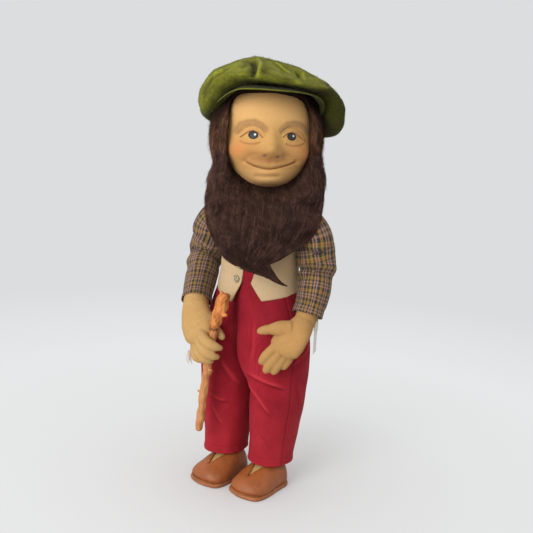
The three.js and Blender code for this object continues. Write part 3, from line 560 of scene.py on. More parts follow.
def branch():
    """A peeled and barked branch: orange-brown wood, darker bark flakes, grey ends and scars."""
    n = Nodes("stick_wood")
    where = n.mark("grain", "Vector")
    grain = n.noise(where, 2.2, 5, 0.65, (1.0, 1.0, 0.12))
    flakes = n.noise(where, 5.5, 4, 0.6, (1.0, 1.0, 0.4))
    base = n.ramp(grain, [(0.25, (0.24, 0.08, 0.028)), (0.45, (0.5, 0.2, 0.07)), (0.7, (0.68, 0.36, 0.17))])
    base = n.mix(n.grey(flakes, 0.5, 0.62, 0.0, 0.6), base, (0.56, 0.24, 0.09))
    bark = n.ramp(flakes, [
        (0.32, (0.2, 0.055, 0.018)), (0.44, (0.52, 0.17, 0.04)), (0.58, (0.64, 0.25, 0.065)), (0.7, (0.74, 0.42, 0.2)),
    ])
    base = n.painted(base, bark=bark, cut=(0.42, 0.22, 0.13), burnt=(0.05, 0.02, 0.012))
    height = n.plus(n.times(flakes, 1.2), grain)
    return n.finish(base, 0.7, n.bump(height, 0.7, 0.0011), Specular_IOR_Level=0.3)


def aged_metal(name, color, rough):
    n = Nodes(name)
    wear = n.noise(n.place(), 2.5, 4, 0.6)
    base = n.tones(wear, color, (0.3, 0.45), (0.55, 1), (0.8, 1.5))
    return n.finish(base, n.grey(wear, 0.3, 0.7, rough + 0.15, rough - 0.08), n.bump(wear, 0.25, 0.0003),
                    Metallic=0.9)


def fibrous(name, color, size=3.0, strength=0.35):
    """Hardboard, card, thread and calico: pressed or spun fibre."""
    n = Nodes(name)
    fibre = n.noise(n.place(), size, 5, 0.65)
    base = n.tones(fibre, color, (0.3, 0.82), (0.5, 1), (0.75, 1.12))
    return n.finish(base, 0.85, n.bump(fibre, strength, 0.0003), Specular_IOR_Level=0.2)


FACE = painted_face()
HAND = felt("hand_felt", (0.51, 0.305, 0.118), 0.4, 0.1, 0.03)
# The left arm's felt is the hand felt painted darker, as shade.
SHADED_HAND = felt("hand_felt_shaded", (0.455, 0.252, 0.09), 0.4, 0.1, 0.03)
# The cap's felt takes painted highlight and painted shade from its lit and deep marks.
CAP = felt("cap_felt_green", (0.175, 0.178, 0.015), 1.3, 0.42, 0.04, True)
VEST = felt("waistcoat_cream", (0.565, 0.405, 0.235), 0.35, 0.07, 0.03)
HAIR = {
    "wig": mohair("mohair_warm", (0.12, 0.056, 0.034), (0.3, 0.15, 0.085)),
    "beard": mohair("mohair_dark", (0.075, 0.037, 0.028), (0.16, 0.078, 0.052)),
    "cap": felt("cap_felt_fibres", (0.19, 0.2, 0.03), 0.0, 0.2),
}
PILE = {
    "wig": mohair_ground("mohair_warm_ground", (0.085, 0.04, 0.025)),
    "beard": mohair_ground("mohair_dark_ground", (0.055, 0.027, 0.0205)),
}
PLAID = tartan("tartan_cotton")
CORD = corduroy("corduroy_crimson")
SHOE = leather("shoe_leather_brown", (0.3, 0.086, 0.02))
SOLE = leather("sole_leather_tan", (0.32, 0.108, 0.036), 0.6)
WOOD = branch()
BUTTON = aged_metal("button_antique", (0.42, 0.36, 0.24), 0.4)
STEEL = aged_metal("plain_steel", (0.5, 0.5, 0.5), 0.35)
BOARD = fibrous("hardboard_brown", (0.22, 0.12, 0.055))
CARD = fibrous("card_white", (0.82, 0.8, 0.74), 2.0)
THREAD = fibrous("thread_white", (0.8, 0.77, 0.7), 0.8, 0.5)
TUFT = fibrous("thread_pink", (0.62, 0.45, 0.38), 0.8)
RIBBON = fibrous("ribbon_black", (0.012, 0.012, 0.016), 0.8)
CALICO = fibrous("calico_cream", (0.62, 0.53, 0.36), 1.2)


# Camera, light and floor

BACKGROUND = (0.715, 0.722, 0.738)
FLOOR = (0.8, 0.806, 0.812)
SENSOR_WIDTH = 36
# Focal length and width of the photograph, in its pixels.
FOCAL_PIXELS, PHOTO_PIXELS = 778, 533


def make_camera():
    """Stands 28 degrees round to the doll's left, 0.8 m away, looking a little down."""
    around, down, roll = math.radians(28), math.radians(10.3), math.radians(3)
    back = Vector((math.sin(around), -math.cos(around), 0))
    right = Vector((math.cos(around), math.sin(around), 0))
    ahead = -back * math.cos(down) - Vector((0, 0, math.sin(down)))
    up = right.cross(ahead)
    tilted_right = right * math.cos(roll) + up * math.sin(roll)
    tilted_up = up * math.cos(roll) - right * math.sin(roll)
    place = back * 0.8 + Vector((0, 0, 0.38)) + right * 0.007 + Vector(AXIS)
    data = bpy.data.cameras.new("camera")
    data.sensor_width = SENSOR_WIDTH
    data.lens = SENSOR_WIDTH * FOCAL_PIXELS / PHOTO_PIXELS
    camera = linked("camera", data)
    axes = [(*tilted_right, 0), (*tilted_up, 0), (*-ahead, 0), (*place, 1)]
    camera.matrix_world = Matrix(axes).transposed()
    bpy.context.scene.camera = camera


def make_key_light():
    """A large soft lamp in front of the doll and a little above it."""
    data = bpy.data.lights.new("key", "AREA")
    data.shape = "DISK"
    data.size = 1.0
    data.energy = 17.5
    lamp = linked("key", data)
    lamp.location = (-0.15, -1.5, 0.72)
    lamp.rotation_euler = (Vector((0, 0, 0.3)) - lamp.location).to_track_quat("-Z", "Y").to_euler()


def seen_directly(tree):
    """1 for rays from the camera and for what mirrors and glass show."""
    rays = add_node(tree, "LightPath").node.outputs
    total = rays["Is Camera Ray"]
    for name in ("Is Glossy Ray", "Is Transmission Ray"):
        total = add_node(tree, "Math", {0: total, 1: rays[name]}, operation="MAXIMUM")
    return total


def make_world():
    """Soft light, stronger from above; the camera and reflections see a plain pale grey."""
    world = bpy.data.worlds.new("studio")
    bpy.context.scene.world = world
    world.use_nodes = True
    tree = world.node_tree
    light = tree.nodes["Background"]
    way = add_node(tree, "SeparateXYZ", {0: add_node(tree, "TexCoord", output="Generated")}).node.outputs
    from_above = map_range(tree, way[2], -0.3, 0.9, 0.3, 1.0)
    from_side = map_range(tree, way[0], -1, 1, 1.1, 0.9)
    feed(tree, light.inputs[0], (1.0, 0.99, 0.97))
    feed(tree, light.inputs[1], add_node(tree, "Math", {0: from_above, 1: from_side}, operation="MULTIPLY"))
    shown = add_node(tree, "Background", {0: BACKGROUND})
    mixed = add_node(tree, "MixShader", {0: seen_directly(tree), 1: light.outputs[0], 2: shown})
    feed(tree, tree.nodes["World Output"].inputs[0], mixed)


def make_floor():
    """A pale floor that keeps the doll's shadow and passes into the background behind it."""
    n = Nodes("floor_pale")
    distance = n.add("VectorMath", {0: n.add("TexCoord", output="Object")}, output="Value", operation="LENGTH")
    pale = n.ramp(n.grey(distance, 0.0, 1.6), [(0.0, FLOOR), (0.3, FLOOR), (0.62, BACKGROUND), (1.0, BACKGROUND)])
    glow = n.add("Emission", {"Color": pale, "Strength": 1.0})
    n.finish((0.7, 0.705, 0.71), 0.95, Specular_IOR_Level=0.0)
    share = n.tones(n.grey(distance, 0.0, 0.5), (1, 1, 1), (0.0, 0.1), (0.2, 0.3), (0.5, 0.75), (1.0, 1))
    shown = n.add("MixShader", {0: share, 1: n.shader.outputs[0], 2: glow})
    dim = n.add("BsdfDiffuse", {"Color": (0.55, 0.55, 0.55)})
    mixed = n.add("MixShader", {0: seen_directly(n.tree), 1: dim, 2: shown})
    feed(n.tree, n.tree.nodes["Material Output"].inputs[0], mixed)
    corners = [(x * 3000, y * 3000, -0.2) for x, y in ((-1, -1), (1, -1), (1, 1), (-1, 1))]
    floor = make_mesh("floor", corners, [(0, 1, 2, 3)], n.material)


make_camera()
make_world()
make_key_light()
make_floor()


# Head

FACE_OUTLINE = [
    (-36.0, 402.0), (-38.5, 394.0), (-39.8, 375.2), (-40.3, 363.5), (-39.6, 352.0), (-36.0, 341.2),
    (-27.4, 330.6), (-13.5, 322.8), (1.5, 320.2), (17.0, 323.6), (29.4, 333.2), (37.6, 347.5),
    (40.0, 363.0), (38.8, 379.1), (35.5, 396.1), (27.0, 405.5), (7.6, 409.5), (-11.4, 409.5), (-29.5, 407.5),
    (-36.0, 402.0),
]
# Swellings and dents of the felt: height, x and z of the middle, and how far they reach in x and in z.
FACE_SPOTS = [
    (7.6, -0.3, 356.6, 8.2, 7.6), (2.9, 0, 367, 6.2, 9.5), (2.0, -8.6, 353.6, 4.6, 3.6), (2.0, 8.8, 353.2, 4.6, 3.6),
    (3.0, -30, 352.5, 11, 9.5), (3.0, 31.5, 353, 11, 9.5), (1.6, 0, 344, 16, 5), (-0.7, 0, 346, 2.4, 3.2),
    (1.7, 0, 334.6, 11, 3.2), (4.6, 0, 325.5, 14, 6.2), (1.1, 0, 385, 40, 7),
    (-1.0, -24.2, 344.6, 1.8, 1.8), (-1.0, 25.4, 346.4, 1.8, 1.8),
]
# Ridges and grooves round each eye: their routes, how far up these are moved, width and height.
EYE_LINES = [
    (LID_ROUTES, 0.7, 1.2, 0.85), (LID_ROUTES, 0, 0.55, -0.55), (FOLD_ROUTES, 1.5, 0.8, -0.6),
    (BAG_ROUTES, 2.3, 1.9, 0.8), (BAG_ROUTES, 0, 0.75, -0.75), (BROW_ROUTES, 0, 3.2, 0.7),
]
# Painted patches of the skin: strength, x and z of the middle, reach in x and in z, and how square they are. The pale
# patch on the chin is painted light.
SKIN_SPOTS = {
    "blush": [(0.62, cx, cz, 10.5, 9.0) for cx, cz in CHEEKS] + [(0.4, 0, 333.8, 9.0, 2.6), (0.3, 0, 323.5, 20.0, 5.0)],
    "pale": [(0.75, 0, 329, 24, 7.5, 4)],
    "shade": [(0.72, 0, 349, 27, 9, 4), (0.22, -17, 352, 9.0, 6.5), (0.4, 0, 347.3, 11.0, 3.2)],
    "nostril": [(0.85, cx, cz, 1.6, 1.1) for cx, cz in NOSTRILS],
}


def on_face(x, z):
    """How far inside the edge of the bare felt face a place lies, in mm. Outside it is negative."""
    outline = curved(FACE_OUTLINE, 76)
    outline[-1] = outline[0]
    inside = np.zeros(x.shape, bool)
    for (x0, z0), (x1, z1) in zip(outline, outline[1:]):
        inside ^= ((z0 > z) != (z1 > z)) & (x < (x1 - x0) * (z - z0) / (z1 - z0 + 1e-9) + x0)
    nearest = np.min([np.hypot(dx, dz) for _, dx, dz in to_segments(x, z, outline)], axis=0)
    return np.where(inside, nearest, -nearest)


def face_relief(x, z):
    """How far the moulded felt stands out, in mm, by place on the face."""
    out = sum(height * spot(x, z, *where) for height, *where in FACE_SPOTS)
    for cx, cz in NOSTRILS:
        out -= 1.3 * spot(x, z, cx, cz, 1.9, 1.3)
    for side_name, (cx, cz) in EYES.items():
        out += 3.0 * (spot(x, z, cx, cz - 0.2, 6.4, 4.6) - spot(x, z, cx, cz + 1.2, 9.8, 6.6))
        for routes, lift, width, height in EYE_LINES:
            out += height * stroke(x, z, routes[side_name], width, lift)
    out -= 1.7 * stroke(x, z, MOUTH_ROUTE, 1.15)
    out += 0.8 * stroke(x, z, MOUTH_ROUTE[1:-1], 2.2, 2.6)
    out -= 1.0 * stroke(x, z, CHIN_ROUTE, 2.4)
    return out - 0.9 * sum(stroke(x, z, line, 2.2) for line in SMILE_LINES)


def face_marks(x, z):
    """Where the face is painted: each colour's strength, 0 to 1."""
    def drawn(routes, width, lift=0.0):
        return np.maximum(*(stroke(x, z, routes[side_name], width, lift) for side_name in SIDES))

    marks = {key: sum(share * spot(x, z, *where) for share, *where in spots) for key, spots in SKIN_SPOTS.items()}
    # Painted light: the forehead paler towards the top, as lit from above.
    marks["pale"] += 0.66 * ease((z - 374) / 16)
    marks["shade"] += 0.5 * drawn(BAG_ROUTES, 0.9) + 0.3 * drawn(FOLD_ROUTES, 0.9, 1.4)
    marks["shade"] += 0.35 * stroke(x, z, CHIN_ROUTE, 2.2)
    marks["brow"] = 0.85 * ease(1.5 * drawn(BROW_ROUTES, 3.3) - 0.18)
    lids = 0.8 * ease(1.5 * drawn(LID_ROUTES, 0.62) - 0.1)
    marks["line"] = np.maximum(lids, 0.85 * ease(1.6 * stroke(x, z, MOUTH_ROUTE, 0.62) - 0.1))
    eye = iris = glint = np.zeros(z.shape)
    for side_name, (cx, cz) in EYES.items():
        away = np.hypot((x - cx) / 4.75, (z - cz) / 4.0)
        lid = np.interp(x, *zip(*LID_ROUTES[side_name]))
        eye = np.maximum(eye, ease((1.06 - away) / 0.12) * ease((lid + 0.1 - z) / 0.5))
        iris = np.where(away < 1.2, np.clip(away, 0, 1), iris)
        glint = np.maximum(glint, ease((1.25 - np.hypot(x - cx - 1.7, z - cz - 0.5)) / 0.5))
    return {**marks, "eye": eye, "iris": iris, "glint": glint}


def make_head():
    edge = math.radians(64)
    front, behind = np.linspace(-edge, edge, 261), np.linspace(edge, 2 * math.pi - edge, 54)[1:-1]
    turn, z = np.meshgrid(np.concatenate([front, behind]), stretches(312.6, (318, 6), (412, 281), (429.6, 10)))
    x = round_form(HEAD, turn, z, 0)[..., 0]
    facing = ease((np.cos(turn) - 0.1) / 0.5)
    points = round_form(HEAD, turn, z, face_relief(x, z) * facing)
    marks = {key: np.clip(value * (facing > 0.2), 0, 1) for key, value in face_marks(x, z).items()}
    head = grid("face", around_neck(points), FACE, **marks)
    return carried(head, "head", "skin_felt", "head_felt")


make_head()


# Hair and beard

# The beard's long lock: places in the head's own directions and its half width there.
WISP = [
    ((-30.6, -60, 266), 17), ((-20.8, -61.5, 257), 15), ((-10.5, -62.3, 249.0), 10.5), ((-1.6, -63.5, 242.0), 6.0),
    ((6.8, -63.6, 235.1), 3.0), ((13.2, -63.2, 230.2), 1.5), ((20.6, -62.8, 227.2), 0.5),
]
# How far round each kind reaches, and its layers: name, number of strands, seed, shortest and longest, how far
# they lift, lowest and highest root, and for the loose ones thickness and wildness.
LAYERS = {
    "wig": (math.pi, [
        ("strands_0", 8200, 11, (16, 36), 2.6, (320, 404)), ("strands_1", 8200, 12, (16, 36), 2.6, (320, 404)),
        ("fuzz", 7000, 14, (5, 11), 3.0, (318, 402), 0.11, 0.03),
        ("flyaways", 2200, 13, (10, 24), 3.8, (318, 400), 0.11, 0.1),
    ]),
    "beard": (math.radians(114), [
        ("strands_0", 5200, 21, (12, 30), 3.0, (248, 356)), ("strands_1", 5200, 22, (12, 30), 3.0, (248, 356)),
        ("strands_2", 5200, 23, (12, 30), 3.0, (248, 356)),
        ("fuzz", 12000, 25, (4, 10), 3.2, (248, 354), 0.11, 0.03),
        ("flyaways", 1600, 24, (8, 20), 3.8, (248, 345), 0.09, 0.07),
    ]),
}
LOWEST_TIP = {"wig": 313.0, "beard": 245.0}


def in_locks(turn, z):
    """Places for noise that runs down the hair in locks."""
    return xyz(turn * 57 + 4 * np.sin(z * 0.06), 0.0, z * 0.16)


def hair_surface(kind, turn, z, grow):
    """Points of the wig or beard in the head's own directions; turn is 0 at the nose.

    The surface rises out of the felt along the edge of the face, steeply at the cheeks and gently at the chin.
    """
    turn, z = np.broadcast_arrays(turn, z)
    s, c = np.sin(turn), np.cos(turn)
    a, b, cy, cx = sample(WIG if kind == "wig" else BEARD, z)
    place, lanes = xyz(s * 60, c * 60, z * 0.55), in_locks(turn, z)
    locks = 1.5 * ripple(place, 27, 301) + 0.8 * ripple(place, 13, 302)
    locks += 0.8 * ripple(lanes, 6.5, 303) + 0.4 * ripple(lanes, 3.2, 304)
    locks -= 2.4 * bell(z - 299, 4.5) * ease(c * 1.5)
    waisted = bell(z - 342, 9) * (np.abs(s) > 0.3)
    locks -= (3.2 * ease(-s * 1.5) + 1.0 * ease(s * 1.5)) * waisted * s**2
    if kind == "beard":
        locks -= 2.6 * bell(z - 303 - 5 * np.cos(turn * 2), 6.5) * ease((c - 0.3) / 0.4)
    out = grow + locks
    points = xyz(cx + s * (a + out), cy - c * (b + out), z)
    distance = on_face(points[..., 0], z)
    width = 4.5 + 13 * ease((348 - z) / 24)
    shown = np.where(c > 0.15, ease(0.12 - distance / width), 1.0)[..., None]
    sunk = np.where(distance > 0, -1 - 6 * ease(distance / 3), -1.0) + np.clip(grow + 2, 0, 3)
    across, deep, middle = sample(HEAD, np.clip(z, 313, 429))
    share = np.clip(points[..., 0] / (across + sunk), -0.999, 0.999)
    bare = xyz(share * (across + sunk), middle - np.sqrt(1 - share**2) * (deep + sunk), z)
    return bare * (1 - shown) + points * shown


def under_cap(points):
    """How deep a point of the wig lies in the dark below the cap, 0 to 1."""
    return ease((points[..., 2] - rim_height(points[..., 0], points[..., 1]) + 20) / 16)


def make_ground(kind):
    """The dense pile under the strands."""
    wig = kind == "wig"
    limit = math.radians(118)
    turns = np.linspace(-math.pi, math.pi, 241)[:-1] if wig else np.linspace(-limit, limit, 200)
    turn, z = np.meshgrid(turns, np.linspace(314.5, 433, 120) if wig else np.linspace(243.5, 360, 120))
    points = hair_surface(kind, turn, z, -2.0)
    if not wig:
        upper = ease((360 - z) / 7)[..., None]
        inner = hair_surface("wig", turn, np.clip(z, 314.5, 433), -5)
        points = inner * (1 - upper) + points * upper
        middle = xyz(-13.0, -56.0, z)
        points = middle + (points - middle) * (0.15 + 0.85 * ease((z - 243) / 5)[..., None])
    pile = xyz(turn * 55 + 2.5 * np.sin(z * 0.11), 0.0, z)
    # The under mark is painted shade below the cap.
    return grid(kind + "_ground", around_neck(points), PILE[kind], wig, pile=pile, under=under_cap(points) * wig)


def strands(kind, name, routes, radii, tints):
    """Thin three-sided strands. routes holds each strand's points, radii its thickness from root to tip."""
    count, steps = routes.shape[:2]
    ahead = unit(np.gradient(routes, axis=1))
    side = unit(np.cross(ahead, np.array([0.31, 0.17, 0.93])))
    over = np.cross(ahead, side)
    corners = [routes + radii[:, :, None] * (math.cos(q) * side + math.sin(q) * over) for q in circle(3)]
    s = np.arange(count)[:, None, None] * steps * 3
    r = np.arange(steps - 1)[None, :, None] * 3
    k = np.arange(3)
    a, b = s + r + k, s + r + (k + 1) % 3
    faces = xyz(a, b, b + 3, a + 3).reshape(-1, 4)
    shape = (count, steps, 3)
    along, tint = (np.broadcast_to(v, shape) for v in (np.linspace(0, 1, steps)[:, None], tints[:, None, None]))
    return make_mesh(name, np.stack(corners, axis=2), faces, HAIR[kind], tint=tint, along=along)


def comb(kind, limit, count, seed, lengths, lift, z_range, width=0.15, wild=0.0):
    """Strands that lie on the wig or beard, follow its locks down from their roots and lift at their tips."""
    rng = np.random.default_rng(seed)
    turn = rng.uniform(-limit, limit, count)
    z = rng.uniform(*z_range, count)
    length = rng.uniform(*lengths, count)
    end = np.maximum(z - length, LOWEST_TIP[kind] + rng.uniform(0, 5, count) * rng.random(count))
    t = np.linspace(0, 1, 6)[None, :]
    height = z[:, None] + (end - z)[:, None] * t
    place = xyz(np.sin(turn) * 60, np.cos(turn) * 60, z)
    sway = 0.12 * ripple(place, 30, 311) + 0.07 * ripple(place, 11, 312) + rng.normal(0, 0.05 + 2 * wild, count)
    curl = rng.normal(0, 0.015 + 0.5 * wild, count)[:, None] * np.sin(t * 6.0 + rng.uniform(0, 6.3, (count, 1)))
    angle = turn[:, None] + sway[:, None] * t * (length[:, None] / 34) + curl
    layer = rng.random(count) ** 1.6
    rise = (0.9 + lift * layer)[:, None] * np.sin(np.minimum(1, t * 1.3) * math.pi / 2)
    stand = -2.6 + rise + wild * 34 * t**1.5 * rng.random((count, 1))
    for _ in range(3):
        route = hair_surface(kind, angle, height, stand)
        distance = on_face(route[..., 0], route[..., 2])
        inside = (distance > -0.4) & (np.cos(angle) > 0.2)
        angle = np.where(inside & (t > 0), angle + np.sign(angle) * (distance + 0.8) / 42, angle)
    route = hair_surface(kind, angle, height, stand)
    keep = np.where(np.cos(angle) > 0.2, on_face(route[..., 0], route[..., 2]), -9).max(axis=1) < 0.6
    if kind == "wig":
        keep &= route[:, 0, 2] < rim_height(route[:, 0, 0], route[:, 0, 1]) + 14
    route, layer = route[keep], layer[keep]
    count = len(route)
    route += rng.normal(0, 0.22 + 3.2 * wild, route.shape) * t[0][None, :, None]
    radii = width * np.array([0.75, 1.0, 1.0, 0.85, 0.6, 0.15]) * rng.uniform(0.7, 1.2, count)[:, None]
    lanes = in_locks(turn[keep], z[keep])
    clump = 0.26 * ripple(lanes, 5, 321) + 0.16 * ripple(lanes, 2.4, 322)
    # Wilder strands, the fuzz and flyaways, get lighter tints: a painted highlight on thin fibres that catch the light.
    tints = np.clip(0.5 * layer + 4 * wild + clump + rng.normal(0.2, 0.15, count), 0, 1)
    # Painted shade: wig strands are darker under the cap.
    if kind == "wig":
        tints *= 1 - under_cap(route[:, 2])
    return around_neck(route), radii, tints


def make_wisp():
    """The long lock that hangs from the middle of the beard and curls out to a point."""
    rng = np.random.default_rng(31)
    count, steps, pieces = 5200, 9, 33
    tip = curved([place for place, _ in WISP], pieces)
    wide = np.interp(np.linspace(0, len(WISP) - 1, pieces), range(len(WISP)), [r for _, r in WISP])
    first = rng.uniform(0, 14, (count, 1))
    length = rng.uniform(9, 20, (count, 1))
    at = np.clip(first + length * np.linspace(0, 1, steps)[None], 0, pieces - 1.01)
    low = at.astype(int)
    part = at - low
    middle = tip[low] * (1 - part[..., None]) + tip[low + 1] * part[..., None]
    spread = wide[low] * (1 - part) + wide[low + 1] * part
    start = rng.normal(0, 0.5, (count, 1, 3)) * np.array([1.0, 0.3, 0.75])
    start /= np.maximum(1, np.linalg.norm(start, axis=-1, keepdims=True))
    route = middle + start * spread[..., None] + rng.normal(0, 0.25, (count, steps, 3))
    shape = np.interp(np.linspace(0, 1, steps), (0, 0.2, 0.7, 1), (0.7, 1, 0.85, 0.15))
    radii = 0.15 * shape * rng.uniform(0.7, 1.2, count)[:, None]
    return strands("beard", "beard_wisp", around_neck(route), radii, np.clip(rng.normal(0.42, 0.2, count), 0, 1))


def worn_hair(kind, obj, *nodes):
    """Gives hair to the head: the wig rides on the head, and the beard stays fixed where it is made."""
    if kind == "wig":
        return carried(obj, "head", "mohair", *nodes)
    return crossing(obj, ("head", "torso"), (0, 0, 348), (0, 0, 268), "mohair", *nodes)


def make_hair(kind):
    limit, layers = LAYERS[kind]
    worn_hair(kind, make_ground(kind), kind)
    for name, *settings in layers:
        worn_hair(kind, strands(kind, f"{kind}_{name}", *comb(kind, limit, *settings)))


# The cap is drawn in the head's own directions.
CAP_CENTRE = (4.5, 3.0)
CAP_HALF = (73.5, 75.0)
CAP_RIM_Z = 382
CAP_RIM_RISE = 36
CAP_TOP_Z = 447
# From the rim's inside round the bulge to the top: share of the half width, and of the way from rim to top.
CAP_OUTLINE = [
    (0.69, 0.22), (0.76, 0.1), (0.86, -0.01), (0.945, 0.02), (1.0, 0.2), (0.99, 0.42),
    (0.93, 0.61), (0.8, 0.79), (0.6, 0.91), (0.36, 0.975), (0.14, 1.0), (0.0, 1.0),
]
# Folds of the crown: a route in x and y seen from above, depth and width in mm.
CAP_FOLDS = [
    ([(-19.6, -18.7), (-19.5, -43), (-22.5, -62), (-23.5, -67)], 4.2, 3.6),
    ([(-26, -20), (-28, -40)], 1.8, 4.5),
    ([(-1.3, -22), (2.9, -33.9), (9.5, -45)], 3.2, 2.6), ([(-11.8, -66.4), (2, -70.3), (14, -71.5)], 1.5, 4.0),
    ([(25.3, -27), (24.2, -49.3)], 3.0, 2.4), ([(40, -22), (47, -38)], 1.8, 3.5),
    ([(-60, -29), (-51, -40.2), (-41, -35.5)], 1.7, 3.2), ([(-66, -18), (-61, -27)], 2.2, 3.2),
    ([(34, -10), (52, -20), (64, -26)], 2.0, 3.6), ([(0, 12), (6, 40), (8, 62)], 2.4, 4.5),
    ([(-24, 10), (-48, 28)], 2.0, 4.5), ([(28, 12), (52, 34)], 2.2, 4.5),
]


def rim_height(x, y):
    lift = CAP_RIM_RISE * ease(-y / 62) - 0.16 * np.maximum(0, y)
    lift = lift + 9 * spot(x, y, 48, -38, 13, 13)
    return CAP_RIM_Z + lift - 0.085 * x - 0.02 * np.maximum(0, x - 52) ** 1.5


def top_height(x, y):
    fall = -0.2 * np.maximum(0, x + 14) - 0.08 * np.maximum(0, -14 - x)
    return CAP_TOP_Z + fall + np.where(y < 0, 0.2, -0.14) * y


def make_cap():
    outline = curved(CAP_OUTLINE, 130)
    turn, row = np.meshgrid(circle(360), np.arange(len(outline)))
    s, c = np.sin(turn), np.cos(turn)
    out, up = outline[row, 0], outline[row, 1]
    pleat = ease((up - 0.3) / 0.5) * (1.3 * np.sin(7 * turn + 0.4) + 1.1 * np.sin(4 * turn + 2.2))
    x = CAP_CENTRE[0] + c * (CAP_HALF[0] * out + pleat * 0.5)
    y = CAP_CENTRE[1] + s * (CAP_HALF[1] * out + pleat * 0.5)
    rim = rim_height(x, y)
    points = xyz(x, y, rim + up * (top_height(x, y) - rim) + pleat * out)
    soft = ripple(points, 46, 5) * 1.2 + ripple(points, 19, 6) * 0.6 + ripple(points, 8, 7) * 0.22
    upper = ease((up - 0.02) / 0.25)
    # The deep mark is painted shade: darker on the right side, along the rim, underneath and in the folds' valleys,
    # with some random dark mottling.
    deep = 0.85 * ease((x - 42) / 18) * ease((12 - y) / 30)
    deep += 0.5 * ease((0.12 - up) / 0.14) + 0.35 * ease(ripple(points, 15, 9) * 0.7)
    deep += 0.7 * ease((x - 30) / 16) * ease((0.3 - up) / 0.3) * ease(-y / 20)
    deep += 0.8 * ease((0.93 - out) / 0.08) * (up < 0.3)
    # The lit mark is painted light: lighter on the upper left and beside the folds' ridges, with some random light
    # mottling.
    lit = 0.3 * ease(ripple(points, 11, 8) * 0.8 - 0.3)
    lit += 0.38 * ease((-x - 6) / 30) * ease((up - 0.45) / 0.25) * ease(-y / 30)
    for route, depth, width in CAP_FOLDS:
        valley = stroke(x, y, route, width)
        ridge = stroke(x - width * 1.7, y, route, width) + 0.6 * stroke(x + width * 1.9, y, route, width * 1.2)
        soft += 1.35 * upper * depth * (0.45 * ridge - valley)
        deep += 0.28 * upper * depth * valley**2
        lit += 0.22 * upper * depth * stroke(x - width * 1.5, y, route, width * 0.7)
    sideways = soft * out * ease(out / 0.5)
    points += xyz(c * sideways, s * sideways, soft * ease((up - 0.3) / 0.4))
    marks = {"deep": np.clip(deep, 0, 0.85), "lit": np.clip(lit * (1 - deep), 0, 0.8)}
    crown = grid("cap_crown_felt", around_neck(points), CAP, flip=True, **marks)
    carried(crown, "head", "cap_felt", "cap_crown")
    normal = unit(np.cross(np.gradient(points, axis=0), np.gradient(points, axis=1)))
    make_cap_fuzz(points[4:-4].reshape(-1, 3), normal[4:-4].reshape(-1, 3))
    make_cap_button(points[-1].mean(axis=0))


def make_cap_fuzz(points, normals):
    """Short loose fibres that stand out of the cap's felt."""
    count = 15000
    rng = np.random.default_rng(51)
    at = rng.integers(0, len(points), count)
    length = rng.uniform(0.5, 1.5, (count, 1, 1))
    lean = rng.normal(0, 0.7, (count, 1, 3)) + rng.normal(0, 0.35, (count, 3, 3)).cumsum(axis=1)
    step = np.linspace(0, 1, 3)[None, :, None]
    route = points[at][:, None] + rng.normal(0, 0.6, (count, 1, 3)) + (normals[at][:, None] + lean) * length * step
    radii = np.array([0.09, 0.08, 0.02]) * rng.uniform(0.7, 1.2, (count, 1))
    carried(strands("cap", "cap_crown_fuzz", around_neck(route), radii, rng.random(count)), "head", "cap_felt")


def make_cap_button(top):
    """A small felt scrap that closes the gathers at the top of the crown."""
    r, h = columns([(0.2, -2.5), (5.2, -1.6), (5.6, -0.6), (4.6, 0.3), (2.4, 0.7), (0.05, 0.8)])
    points = xyz(r * np.cos(circle(32)), r * np.sin(circle(32)), h) + top
    return carried(grid("cap_top_patch", around_neck(points), CAP, flip=True), "head", "cap_felt")


# The visor's outer edge: angle from the front in degrees, half width of the curve there and height.
VISOR_EDGE = [
    (-84, 54, 396.5), (-70, 55, 400), (-60, 55, 404), (-50, 55, 408.3), (-38, 55, 411.4), (-20, 55, 411.6),
    (0, 55, 411.1), (20, 55, 410.8), (40, 56, 409.4), (50, 57.5, 407.4), (58, 58, 404), (65, 57, 399.5),
    (71, 54, 394), (78, 50.5, 388), (86, 47.5, 383.5), (94, 45, 380.5), (104, 43, 379),
]


def make_visor():
    """A stiff curved brim of two felt layers with an edge seam, its ends turned down beside the face."""
    edge_degrees, *edge = zip(*VISOR_EDGE)
    degrees = np.linspace(-84, 104, 129)
    wide, height = (rounded(np.interp(degrees, edge_degrees, values)) for values in edge)
    angle = np.radians(degrees)
    outer = xyz(wide * np.sin(angle), -8 - 66 * np.cos(angle), height)
    inner = xyz(44 * np.sin(angle), -4 - 43 * np.cos(angle), height + 4.5)
    narrow = 0.8 * ease((np.abs(degrees) - 38) / 32)[:, None]
    inner += (outer - inner + np.array([0, 5.0, 1.0])) * narrow
    ends = np.sqrt(np.clip(1 - np.abs((degrees - 10) / 94.5) ** 14, 0, 1))[:, None]
    c, s = np.cos(circle(28)), np.sin(circle(28))
    reach = np.sign(c) * np.abs(c) ** 0.7
    thick = 1.15 - 0.25 * bell(np.abs(c) - 0.9, 0.05)
    middle, half = (outer + inner) / 2, (outer - inner) / 2
    points = middle[:, None] + half[:, None] * (reach * ends)[..., None]
    points[..., 2] += s * thick * np.maximum(ends, 0.1)
    # The deep mark is painted shade: the whole brim is darkened except the top of its outer edge.
    deep = np.maximum(0.9 * ease((0.93 - reach) / 0.2), 0.8 * ease((0.1 - s) / 0.5))
    visor = grid("cap_visor_felt", around_neck(points), CAP, deep=np.broadcast_to(deep, points.shape[:2]))
    carried(visor, "head", "cap_felt", "cap_visor")


make_hair("wig")
make_hair("beard")
worn_hair("beard", make_wisp())
make_cap()
make_visor()


# Shirt, waistcoat and trousers

def make_torso():
    z = np.linspace(148, 311.5, 70)[:, None]
    inside = -0.5 - 4 * ease((228 - z) / 8) - 6 * ease((205 - z) / 40)
    torso = grid("torso_calico", round_form(TORSO, circle(72), z, inside), CALICO)
    return carried(torso, "torso", "calico", "torso_body")


